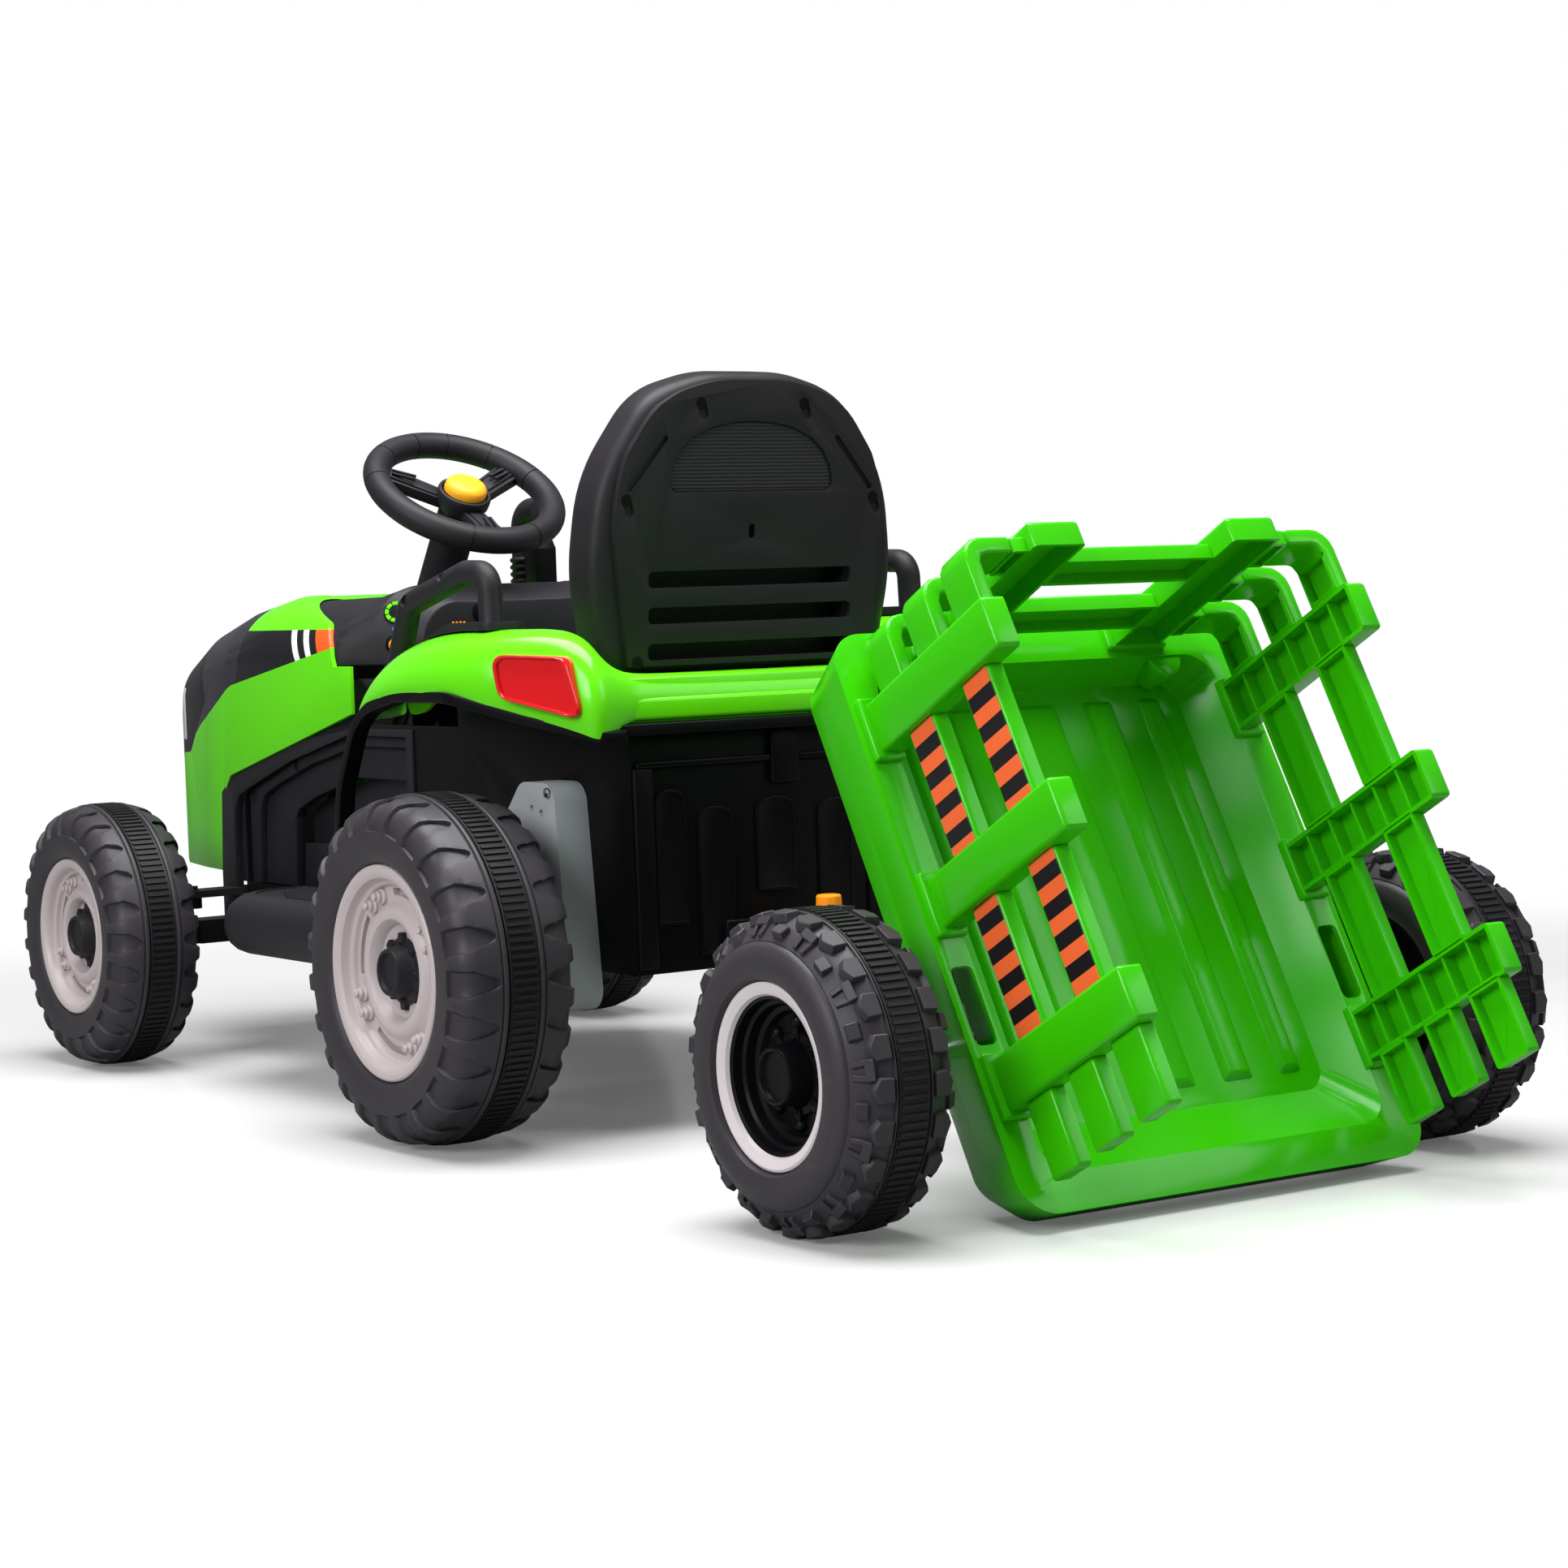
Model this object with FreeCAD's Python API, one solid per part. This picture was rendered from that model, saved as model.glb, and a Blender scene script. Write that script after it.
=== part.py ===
import FreeCAD, Part
import math
import os

V = FreeCAD.Vector

# Driving dimensions in millimetres; +X forward, +Y left, +Z up; x = 0 over the rear axle until the last step

# Wheels: outer radius, width and rim radius
REAR_R = 125.0
REAR_W = 96.0
REAR_RIM_R = 77.0
FRONT_R = 111.0
FRONT_W = 80.0
FRONT_RIM_R = 66.0
TRAILER_R = 98.0
TRAILER_W = 82.0
TRAILER_RIM_R = 57.0
WHEELBASE = 594.0
TRAILER_AXLE_BACK = 473.0
TYRE_WALL = 4.0
BAND_WIDTH = 22.0
BAND_SEAT = 2.0
BAND_PROUD = 3.0
SHOULDER_DROP = 20.0
SHOULDER_MID = 8.0
SHOULDER_WIDTH = 12.0
TRAILER_DOME = 1.3
RIM_WALL = 4.0
RIM_DISH = 18.0
RIM_LIP = 9.0
RIM_SLOPE = 5.0
BEAD_INSET = 6.0
HUB_R = 19.0
CAP_WALL = 3.0
CAP_RISE = 10.0
CAP_FLANGE = 9.0
CAP_EDGE = 2.0
CAP_CHAMFER = 4.0

# Shafts and the play that lets them turn
AXLE_R = 6.0
STUB_R = 5.0
KINGPIN_R = 5.0
RUN_GAP = 0.05
PART_GAP = 0.5
AXLE_END_GAP = 3.0

# Reach of the cutting forms, past the toy's outside
WIDE = 400.0
HIGH = 700.0

# Black lower body
BODY_WALL = 3.5
BODY_HALF = 135.0
BODY_REAR = -95.0
BODY_BEFORE_AXLE = 64.0
BODY_FRONT = WHEELBASE - BODY_BEFORE_AXLE
BODY_BOTTOM = 116.0
BODY_TOP = 288.0
DECK_DROP = 40.0
DECK_THICK = 4.0
WHEEL_FRONT_ROOM = 25.0
DECK_FRONT = REAR_R + WHEEL_FRONT_ROOM
TONGUE_HALF = 60.0
TONGUE_PAST_AXLE = 56.0
TONGUE_FRONT = WHEELBASE + TONGUE_PAST_AXLE
TONGUE_TOP = 215.0
AXLE_SLOT_HALF = 14.0

# Green rear body with mudguards
FENDER_HALF = 235.0
WHEEL_HEADROOM = 70.0
ARCH_DEPTH = 42.0
ARCH_TOP = 2 * REAR_R + WHEEL_HEADROOM
FENDER_TOP = ARCH_TOP + ARCH_DEPTH
DECK_BOTTOM = FENDER_TOP - DECK_DROP
FENDER_WALL = 4.0
FENDER_REAR_REACH = 23.0
FENDER_REAR = BODY_REAR - FENDER_REAR_REACH
FENDER_NOSE = 62.0
FENDER_FRONT = DECK_FRONT + FENDER_NOSE
FOOT_DROP = 24.0
FENDER_FOOT = ARCH_TOP - FOOT_DROP
FENDER_ROUND = 26.0
FENDER_STEP = 15.0
FENDER_INNER = BODY_HALF + FENDER_STEP
CORNER_STEP = 22.0
CORNER_X = 108.0
CORNER_Y = FENDER_INNER + CORNER_STEP
RISER_INSET = 35.0
RISER_REAR = BODY_REAR + RISER_INSET
RISER_FRONT = 46.0
DECK_REAR = BODY_REAR - 10.0
SKIRT_DROP = 28.0
DECK_SKIRT = DECK_BOTTOM - SKIRT_DROP
ARCH_REAR = ((-40.0, 40.0), (56.0, 16.0), (108.0, 0.0))
ARCH_FRONT = ((146.0, 0.0), (100.0, 9.0))
ARCH_RADII = [0, 0, 60, 60, 60, 40]
ARCH_PAST = 40.0
FOOT_BACK = 76.0
PLAN_NOSE = 52.0
PLAN_IN = 29.0
PLAN_SIDE = 70.0
SIDE_FRONT = ((0.0, 44.0), (62.0, 16.0), (172.0, 0.0))
SIDE_CROWN = 83.0
CROWN_TURN = 34.0
CROWN_BACK = 54.0
CROWN_ROUND = 110.0
SIDE_REAR = 36.0
CHEEK_DROP = 14.0
TRIM_AHEAD = 22.0
TRIM_BEND = 10.0
TRIM_KNEE = 47.0
TRIM_DROP = 8.0
TRIM_DEPTH = 14.0

# Tail lamps on the slanted rear corners: place along the corner and below the mudguard's top
LAMP_CORNERS = ((43.0, -16.0), (103.0, -19.0), (116.0, -64.0), (49.0, -47.0))
LAMP_ROUND = 8.0
LAMP_PROUD = 4.0
LAMP_BACK = 8.0

# Seat
SEAT_HALF = 134.0
SEAT_REAR_HALF = 119.5
REAR_NECK = 0.80
FRONT_NECK = 0.72
SEAT_RISE = 217.0
DECK_LEVEL = DECK_BOTTOM + DECK_THICK
SEAT_TOP = DECK_LEVEL + SEAT_RISE
SEAT_BACK_DEPTH = 36.0
SEAT_PANEL_THICK = 10.0
SEAT_PANEL_INSET = 2.0
SEAT_BACK_X = -40.0
SEAT_LEAN = 4.5
SEAT_BASE_HALF = 118.0
SEAT_BASE_FRONT = 148.0
SEAT_BASE_THICK = 22.0
SEAT_LAP = 10.0
SEAT_CORNER = 40.0
SEAT_WALL = 3.5
SLOT_HALF = 89.0
SLOT_HEIGHT = 12.0
SLOT_PITCH = 26.0
SLOT_RISE = 11.0
SCREW_R = 2.5
SCREW_HEAD_R = 4.5
SCREW_HEAD_T = 2.5
SCREW_PLACES = ((45.0, 195.0), (108.0, 126.0), (98.0, 10.0))

# Bonnet, nose and dashboard
BONNET_WALL = 3.5
BONNET_HALF = BODY_HALF + BONNET_WALL
BONNET_BEHIND_AXLE = 276.0
BONNET_REAR = WHEELBASE - BONNET_BEHIND_AXLE
NOSE_PAST_AXLE = 134.0
BONNET_NOSE = WHEELBASE + NOSE_PAST_AXLE
BONNET_RISE = 105.0
BONNET_TOP = BODY_TOP + BONNET_RISE
SKIRT_RISE = 42.0
BONNET_SKIRT = BODY_BOTTOM + SKIRT_RISE
EDGE_RISE = 8.0
EDGE_STEPS = ((17.0, 47.0), (38.0, 66.0))
EDGE_FOOT = 45.0
EDGE_ROUND = 11.0
NOSE_EDGE = ((88.0, -27.0), (118.0, 90.0), (60.0, 135.0), (-172.0, 149.0), (-172.0, -27.0))
SHOULDER_SHARE = 0.35
CROWN_SHARE = 0.45
EASE_SHARE = 0.11
SEAM_STEP = 28.0
SEAM_SIDE = BONNET_REAR + SEAM_STEP
SEAM_LENGTH = 124.0
DASH_SEAM = SEAM_SIDE + SEAM_LENGTH
DASH_DEPTH = 26.0
DASH_REAR = BONNET_REAR - DASH_DEPTH
DASH_STEP = 4.0
DASH_TOP = BONNET_TOP + DASH_STEP
DASH_MID = BONNET_REAR + DASH_STEP
DASH_MID_TUCK = 26.5
DASH_MID_HALF = BONNET_HALF - DASH_MID_TUCK
DASH_REAR_TUCK = 54.5
DASH_REAR_HALF = BONNET_HALF - DASH_REAR_TUCK
DASH_HEIGHT = 59.0
DASH_FOOT = BONNET_TOP - DASH_HEIGHT
DASH_CROWN_DROP = 14.0
DASH_LIP = 16.0
DASH_GAP = 0.3
LENS_HEIGHT = 46.0
LENS_TOP_DROP = 79.0
LENS_HIGH = BONNET_TOP - LENS_TOP_DROP
LENS_LOW = LENS_HIGH - LENS_HEIGHT
LENS_INNER = 52.0
LENS_LENGTH = 46.0
LENS_BACK = BONNET_NOSE - LENS_LENGTH
BUTTON_R = 9.0
BUTTON_TRAVEL = 3.0
BUTTON_RIM = 3.0
BUTTON_PROUD = BUTTON_TRAVEL + BUTTON_RIM
BUTTON_FLANGE = 3.0
BUTTON_Y = 48.0
BUTTON_RISE = 16.0
BUTTON_Z = DASH_FOOT + BUTTON_RISE

# Steering
STEER_BEHIND_AXLE = 227.3
STEER_X = WHEELBASE - STEER_BEHIND_AXLE
STEER_Z = 473.3
STEER_TILT = 34.0
STEER_R = 86.0
STEER_GRIP_R = 11.0
STEER_HUB_R = 25.0
STEER_HUB_T = 26.0
SPOKE_W = 22.0
SPOKE_T = 9.0
HUB_PROUD = 8.0
COLUMN_R = 17.5
COLUMN_LENGTH = 125.0
CRANK_T = 8.0
CRANK_HALF = 5.0
BALL_R = 6.0
HORN_R = 19.0
HORN_T = 20.0
HORN_GAP = 0.3
HORN_TRAVEL = 3.0

# Front axle and knuckles
KINGPIN_Y = 174.0
BEAM_W = 30.0
BEAM_H = 20.0
BOSS_R = 11.0
BOSS_HALF = 18.0
NECK_LENGTH = 6.0
PLATE_WIDTH = 8.0
FRONT_TRACK = KINGPIN_Y + BOSS_R + 2 * PART_GAP + PLATE_WIDTH + FRONT_W / 2
EAR_T = 9.0
ARM = 40.0
ARM_PIN_R = 4.0
ARM_PIN_H = 10.0
ARM_PIN_WALL = 3.0
TIE_T = 6.0
TIE_W = 26.0
TIE_END = 5.0
BALL_PLAY = 5.0
SLOT_PLAY = 0.7
STEER_LIMIT = 22.0

# Foot boards and pedal
BOARD_TUCK = 13.0
BOARD_OUT = FENDER_HALF - BOARD_TUCK
BOARD_WIDTH = BOARD_OUT - BODY_HALF
BOARD_NOSE = BOARD_WIDTH * 43 / 87
BOARD_TAIL = BOARD_WIDTH * 21 / 87
BOARD_CORNERS = [BOARD_WIDTH * part / 87 for part in (0, 6, 34, 34, 20, 12)]
BOARD_REAR = DECK_FRONT
BOARD_BEHIND_AXLE = 154.0
BOARD_FRONT = WHEELBASE - BOARD_BEHIND_AXLE
BOARD_LOW = 106.0
BOARD_TOP = 153.0
BOARD_WALL = 4.0
PEDAL_X = 300.0
PEDAL_SHIFT = 0.5
PEDAL_Y = PEDAL_SHIFT - BODY_HALF - BOARD_WIDTH / 2
PEDAL_MARGIN = 17.5
PEDAL_W = BOARD_WIDTH - 2 * PEDAL_MARGIN
PEDAL_L = 66.0
PEDAL_T = 7.0
PEDAL_RISE = 28.0
PEDAL_PIN_R = 3.0
PEDAL_EAR_T = 5.0
PEDAL_LIFT = 4.0

# Drive
GEARBOX_W = 51.0
GEARBOX_OUT = BODY_HALF + GEARBOX_W
WHEEL_CLEAR = 8.0
REAR_TRACK = GEARBOX_OUT + WHEEL_CLEAR + REAR_W / 2
GEARBOX_REAR = -50.0
GEARBOX_FRONT = 44.0
GEARBOX_UNDER = 37.0
GEARBOX_LOW = REAR_R - GEARBOX_UNDER
GEARBOX_OVER = 127.0
GEARBOX_HIGH = REAR_R + GEARBOX_OVER
GEARBOX_SLOPE = 34.0
GEARBOX_CROWN = 62.0
GEARBOX_LEAN = 16.0
GEARBOX_CORNER = 16.0
GEARBOX_CASE = 27.0
GEARBOX_BOSS = 36.0
MOTOR_R = 19.0
MOTOR_L = 62.0
MOTOR_X = 2.0
MOTOR_RISE = 83.0
MOTOR_Z = REAR_R + MOTOR_RISE
BATTERY = (150.0, 98.0, 95.0)
BATTERY_X = 60.0

# Grab handles and stack
HANDLE_IN = 6.5
HANDLE_Y = (FENDER_INNER + FENDER_HALF) / 2 - HANDLE_IN
HANDLE_R = 9.0
HANDLE_FRONT = 146.0
HANDLE_REAR = 2.0
HANDLE_RISE = 42.0
HANDLE_TOP = FENDER_TOP + HANDLE_RISE
HANDLE_SINK = 27.0
HANDLE_FOOT = FENDER_TOP - HANDLE_SINK
PLATE_HALF = 17.0
PLATE_T = 6.0
PLATE_SINK = 60.0
STACK_AHEAD = 124.0
STACK_X = BONNET_REAR + STACK_AHEAD
STACK_IN = 38.5
STACK_Y = STACK_IN - BONNET_HALF
STACK_R = 14.0
STACK_BORE = 9.0
STACK_RIBS = 9
RIB_PITCH = 6.0
RIB_DEPTH = 2.0
STACK_SINK = 27.0
STACK_BASE = BONNET_TOP - STACK_SINK
ELBOW_RISE = 38.0
ELBOW_REACH = 30.0
ELBOW_BEND = 18.0
POST_W = 20.0
POST_RISE = 74.0
POST_SINK = 6.0
POST_SLOPE = 14.0
POST_TOP = STACK_BASE + POST_RISE

# Hitch
HITCH_REACH = 45.0
HITCH_BACK = HITCH_REACH - BODY_REAR
TONGUE_PLATE_Z = 128.0
TONGUE_PLATE_T = 6.0
TONGUE_PLATE_R = 12.0
TONGUE_WEB = 22.0
PIN_R = 5.5
EYE_R = 13.0
EYE_T = 12.0
KNOB_R = 9.0
KNOB_H = 19.0

# Trailer
TIP_ANGLE = 61.2
DRAW_R = 10.0
DRAW_DROP = 8.0
DRAW_EYE_BACK = 26.0
DRAW_EYE_X = -HITCH_BACK - DRAW_EYE_BACK
DRAW_BEND_BACK = 26.0
DRAW_BEND_X = DRAW_EYE_X - DRAW_BEND_BACK
DRAW_BLOCK_HALF = 15.0
DRAW_BLOCK_R = 8.5
TUB_HALF = 165.0
TUB_CLEAR = 39.0
TRAILER_TRACK = TUB_HALF + TUB_CLEAR + TRAILER_W / 2
TUB_TAPER = 15.0
TUB_BOTTOM_HALF = TUB_HALF - TUB_TAPER
TUB_FRONT = 270.0
TUB_REAR = -122.0
TUB_REAR_SLOPE = 26.0
TUB_BOTTOM_REAR = TUB_REAR + TUB_REAR_SLOPE
TUB_FRONT_SLOPE = 6.0
TUB_BOTTOM_FRONT = TUB_FRONT - TUB_FRONT_SLOPE
TUB_MID = 10.0
TUB_MID_SLOPE = 6.5
TUB_MID_REAR = TUB_REAR + TUB_MID_SLOPE
TUB_MID_FRONT = TUB_FRONT - TUB_FRONT_SLOPE / 2
TUB_MID_TAPER = 8.0
TUB_MID_HALF = TUB_HALF - TUB_MID_TAPER
TUB_RIM = 42.0
TUB_SKIRT = -15.0
TUB_FLOOR = 12.0
TUB_WALL = 3.0
TUB_CORNER = 26.0
TUB_RIM_WIDTH = 25.0
FLOOR_CORNER = 17.0
MOUTH_CORNER = 21.0
FLOOR_TAPER = 12.0
TUB_FLOOR_HALF = TUB_HALF - TUB_RIM_WIDTH - FLOOR_TAPER
FLOOR_FRONT_SLOPE = 7.0
TUB_FLOOR_FRONT = TUB_FRONT - TUB_RIM_WIDTH - FLOOR_FRONT_SLOPE
FLOOR_REAR_SLOPE = 37.0
TUB_FLOOR_REAR = TUB_REAR + TUB_RIM_WIDTH + FLOOR_REAR_SLOPE
TUB_BOSS_R = 8.5
TUB_BOSS_L = 24.0
NOTCH_HALF = 14.0
NOTCH_TOP = 6.0
POCKET_U = 14.0
POCKET_LENGTH = 48.0
POCKET_WIDTH = 14.0
POCKET_IN = 15.0
POCKET_Y = TUB_HALF - POCKET_IN
POCKET_DEPTH = 12.0

# Fences on the tub
POST_BACK = 69.0
POST_FIRST = TUB_FRONT - POST_BACK
POST_PITCH = 120.5
POST_LENGTH = 34.0
POST_HEIGHT = 141.0
POST_IN = 9.0
POST_OUT = TUB_HALF - POST_IN
FENCE_LAP = 1.0
FENCE_IN = TUB_HALF - TUB_RIM_WIDTH - FENCE_LAP
RAIL_DEPTH = 11.0
RAIL_OUT = FENCE_IN + RAIL_DEPTH
FENCE_WALL = 3.0
FENCE_CORNER = 15.0
FENCE_FRONT_IN = 8.0
FENCE_FRONT = TUB_FRONT - FENCE_FRONT_IN
FRONT_POST_IN = 2.0
FRONT_POST_OUT = TUB_FRONT - FRONT_POST_IN
FRONT_POST_Y = 80.0
FRONT_POST_W = 40.0
STUB_LENGTH = 12.0
FENCE_SEAM = FRONT_POST_Y + FRONT_POST_W / 2 + STUB_LENGTH
FOOT_IN = 15.0
FOOT_END = TUB_REAR + FOOT_IN
STUB_RAILS = ((14.0, 41.0), (59.0, 86.0), (104.0, 134.0))
SPAN_RAILS = ((27.0, 56.0), (89.0, 119.0))


# Building blocks

def place_point(plane, a, b, level):
    """The point (a, b) of a drawing plane, level along its normal."""
    if plane == "XY":
        return V(a, b, level)
    if plane == "XZ":
        return V(a, level, b)
    return V(level, a, b)


def plane_normal(plane):
    """The direction in which a drawing plane's prisms grow."""
    return {"XY": V(0, 0, 1), "XZ": V(0, 1, 0), "YZ": V(1, 0, 0)}[plane]


def round_path(points, radii, closed):
    """Edges through 3D points with an arc at each corner that has a radius."""
    count = len(points)
    starts, ends, arcs = [], [], []
    for i, corner in enumerate(points):
        radius = radii[i] if isinstance(radii, (list, tuple)) else radii
        inner = closed or 0 < i < count - 1
        before = points[i - 1].sub(corner) if inner else V(0, 0, 0)
        after = points[(i + 1) % count].sub(corner) if inner else V(0, 0, 0)
        if not inner or radius <= 0 or before.getAngle(after) > math.pi - 1e-4:
            starts.append(corner)
            ends.append(corner)
            arcs.append(None)
            continue
        half = before.getAngle(after) / 2
        reach = min(radius / math.tan(half), 0.49 * before.Length, 0.49 * after.Length)
        radius = reach * math.tan(half)
        first = corner + before.normalize() * reach
        last = corner + after.normalize() * reach
        bisector = (before + after).normalize()
        middle = corner + bisector * (radius / math.sin(half) - radius)
        starts.append(first)
        ends.append(last)
        arcs.append(Part.Arc(first, middle, last).toShape())
    edges = []
    for i in range(count):
        if arcs[i]:
            edges.append(arcs[i])
        following = (i + 1) % count
        if following == 0 and not closed:
            break
        if ends[i].distanceToPoint(starts[following]) > 1e-6:
            edges.append(Part.makeLine(ends[i], starts[following]))
    return Part.Wire(Part.__sortEdges__(edges))


def outline(points, radii, plane, level):
    """A closed outline with rounded corners in a drawing plane."""
    return round_path([place_point(plane, a, b, level) for a, b in points], radii, True)


def prism(points, radii, plane, start, end):
    """A prism between two levels of a drawing plane."""
    face = Part.Face(outline(points, radii, plane, start))
    return face.extrude(plane_normal(plane) * (end - start))


def block(x0, x1, y0, y1, z0, z1):
    """A box between two corners."""
    return Part.makeBox(x1 - x0, y1 - y0, z1 - z0, V(x0, y0, z0))


def rod(radius, start, end):
    """A round bar between two points."""
    along = end.sub(start)
    return Part.makeCylinder(radius, along.Length, start, along)


def pipe(points, bend, radius):
    """A round bar that follows a path with bent corners."""
    path = round_path(points, bend, False)
    section = Part.Wire(Part.makeCircle(radius, points[0], points[1].sub(points[0])))
    return path.makePipeShell([section], True, True)


def turned(profile):
    """A solid of revolution about Y; the profile lists radius and offset along Y."""
    corners = [V(radius, offset, 0) for radius, offset in profile]
    face = Part.Face(Part.makePolygon(corners + corners[:1]))
    return face.revolve(V(0, 0, 0), V(0, 1, 0), 360)


def fused(shapes):
    """One solid from overlapping shapes."""
    return shapes[0].multiFuse(shapes[1:]).removeSplitter()


def moved(shape, x, y, z):
    """A copy of a shape, moved."""
    copy = shape.copy()
    copy.translate(V(x, y, z))
    return copy


def mirrored(shape):
    """The same piece on the other side of the centre line."""
    return shape.mirror(V(0, 0, 0), V(0, 1, 0))


def tilted(shape, angle, x, z):
    """A shape drawn about the origin, turned about Y and put at x and z."""
    copy = shape.copy()
    copy.rotate(V(0, 0, 0), V(0, 1, 0), angle)
    copy.translate(V(x, 0, z))
    return copy


# Wheels, drawn about their own centre with +Y outward

def tyre(radius, width, rim_radius, dome):
    """A hollow blow-moulded tyre, open towards the rim, with a groove for the traction band."""
    half = width / 2
    bead = half - BEAD_INSET
    crown = radius - BAND_PROUD
    bulge = radius - SHOULDER_DROP * dome
    groove = crown - BAND_SEAT
    edge = half - SHOULDER_WIDTH * dome
    right = [(rim_radius, bead), (bulge, half), (radius - SHOULDER_MID * dome, (half + edge) / 2 + 1)]
    right += [(crown, edge), (crown, BAND_WIDTH / 2), (groove, BAND_WIDTH / 2)]
    left = [(r, -offset) for r, offset in reversed(right)]
    cavity = [(rim_radius, -bead + TYRE_WALL), (bulge, -half + TYRE_WALL)]
    cavity += [(groove - TYRE_WALL, -edge + TYRE_WALL)]
    cavity += [(r, -offset) for r, offset in reversed(cavity)]
    return turned(right + left + cavity)


def traction_band(radius):
    """The rubber strip round the middle of a tyre."""
    inner = radius - BAND_PROUD - BAND_SEAT
    half = BAND_WIDTH / 2
    return turned([(inner, -half), (radius, -half), (radius, half), (inner, half)])


def rim(width, rim_radius, axle_radius, hub_in):
    """A dished rim with a barrel that closes the tyre and a hub that turns on the axle."""
    bead = width / 2 - BEAD_INSET
    web = bead - RIM_DISH
    bore = axle_radius + RUN_GAP
    return turned([
        (bore, hub_in), (HUB_R, hub_in), (HUB_R, web - RIM_WALL), (rim_radius - RIM_WALL, web - RIM_WALL),
        (rim_radius - RIM_WALL, -bead), (rim_radius, -bead), (rim_radius, bead), (rim_radius - RIM_LIP, bead),
        (rim_radius - RIM_LIP - RIM_SLOPE, web), (bore, web)])


def hub_cap(width):
    """A black cap with a flange, which covers the end of the axle."""
    web = width / 2 - BEAD_INSET - RIM_DISH
    flange = HUB_R + CAP_FLANGE
    top = web + RIM_DISH - CAP_EDGE
    return turned([
        (0, top), (HUB_R - CAP_EDGE, top), (HUB_R, top - CAP_EDGE), (HUB_R, web + CAP_RISE),
        (flange, web + CAP_RISE - CAP_CHAMFER),
        (flange, web), (HUB_R - CAP_WALL, web), (HUB_R - CAP_WALL, top - CAP_WALL), (0, top - CAP_WALL)])


def add_wheel(parts, name, x, track, side, size, axle_radius, hub_in):
    """Four nodes of one wheel, on the left or the right side."""
    radius, width, rim_radius, dome = size
    pieces = {
        "tyre": tyre(radius, width, rim_radius, dome),
        "traction_band": traction_band(radius),
        "rim": rim(width, rim_radius, axle_radius, hub_in - track),
        "hub_cap": hub_cap(width)}
    for piece, shape in pieces.items():
        shape = moved(shape, x, track, radius)
        parts[name + "_" + piece] = shape if side > 0 else mirrored(shape)


def axle_reach(track, width):
    """How far an axle reaches out, just inside the hub cap."""
    return track + width / 2 - BEAD_INSET - CAP_EDGE - CAP_WALL - AXLE_END_GAP


# Lower body, drive and front axle

def body_shell():
    """Moulded tub of the lower body with a narrow tongue in front that carries the front axle."""
    inside = BODY_HALF - BODY_WALL
    rear = block(BODY_REAR, DECK_FRONT, -BODY_HALF, BODY_HALF, BODY_BOTTOM, DECK_BOTTOM)
    front = block(DECK_FRONT, BODY_FRONT, -BODY_HALF, BODY_HALF, BODY_BOTTOM, BODY_TOP)
    tongue = block(BODY_FRONT, TONGUE_FRONT, -TONGUE_HALF, TONGUE_HALF, BODY_BOTTOM, TONGUE_TOP)
    floor = BODY_BOTTOM + BODY_WALL
    cavity = block(BODY_REAR + BODY_WALL, BODY_FRONT - BODY_WALL, -inside, inside, floor, FENDER_TOP)
    nose = TONGUE_HALF - BODY_WALL
    front_cavity = block(BODY_FRONT - 2 * BODY_WALL, TONGUE_FRONT - BODY_WALL, -nose, nose, floor, FENDER_TOP)
    slot = block(-AXLE_SLOT_HALF, AXLE_SLOT_HALF, -inside, inside, BODY_BOTTOM - 1, floor + 1)
    gap = AXLE_R + PART_GAP
    axle = rod(gap, V(0, -BODY_HALF - 1, REAR_R), V(0, BODY_HALF + 1, REAR_R))
    notch = block(-gap, gap, -BODY_HALF - 1, BODY_HALF + 1, BODY_BOTTOM - 1, REAR_R)
    motors = rod(MOTOR_R + PART_GAP, V(MOTOR_X, -BODY_HALF - 1, MOTOR_Z), V(MOTOR_X, BODY_HALF + 1, MOTOR_Z))
    travel = TIE_W / 2 + PART_GAP
    tie_low = tie_level() - PART_GAP
    tie_x = WHEELBASE - ARM
    tie_high = tie_low + 2 * TIE_T + ARM_PIN_H
    tie = block(tie_x - travel, tie_x + travel, -BODY_HALF, BODY_HALF, tie_low, tie_high)
    shell = fused([rear, front, tongue, tow_tongue()])
    for cut in (cavity, front_cavity, slot, axle, notch, motors, tie):
        shell = shell.cut(cut)
    return shell


def gearboxes():
    """Two drive housings bolted to the body's sides, each with a round boss that the axle runs through."""
    shape = [(GEARBOX_REAR, GEARBOX_LOW), (GEARBOX_FRONT, GEARBOX_LOW)]
    shape += [(GEARBOX_FRONT, GEARBOX_HIGH - GEARBOX_SLOPE), (GEARBOX_REAR + GEARBOX_CROWN, GEARBOX_HIGH)]
    shape += [(GEARBOX_REAR + GEARBOX_LEAN, GEARBOX_HIGH)]
    case = prism(shape, GEARBOX_CORNER, "XZ", BODY_HALF, BODY_HALF + GEARBOX_CASE)
    boss = rod(GEARBOX_BOSS, V(0, BODY_HALF + GEARBOX_CASE / 2, REAR_R), V(0, GEARBOX_OUT, REAR_R))
    housing = fused([case, boss]).cut(rod(AXLE_R + RUN_GAP, V(0, BODY_HALF - 1, REAR_R), V(0, GEARBOX_OUT + 1, REAR_R)))
    return Part.makeCompound([housing, mirrored(housing)])


def drive_motors():
    """Two motors that stand on the housings and reach into the body."""
    motor = rod(MOTOR_R, V(MOTOR_X, BODY_HALF, MOTOR_Z), V(MOTOR_X, BODY_HALF - MOTOR_L, MOTOR_Z))
    return Part.makeCompound([motor, mirrored(motor)])


def rear_axle():
    """Steel rod through both housings and both rear wheels."""
    reach = axle_reach(REAR_TRACK, REAR_W)
    return rod(AXLE_R, V(0, -reach, REAR_R), V(0, reach, REAR_R))


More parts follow.
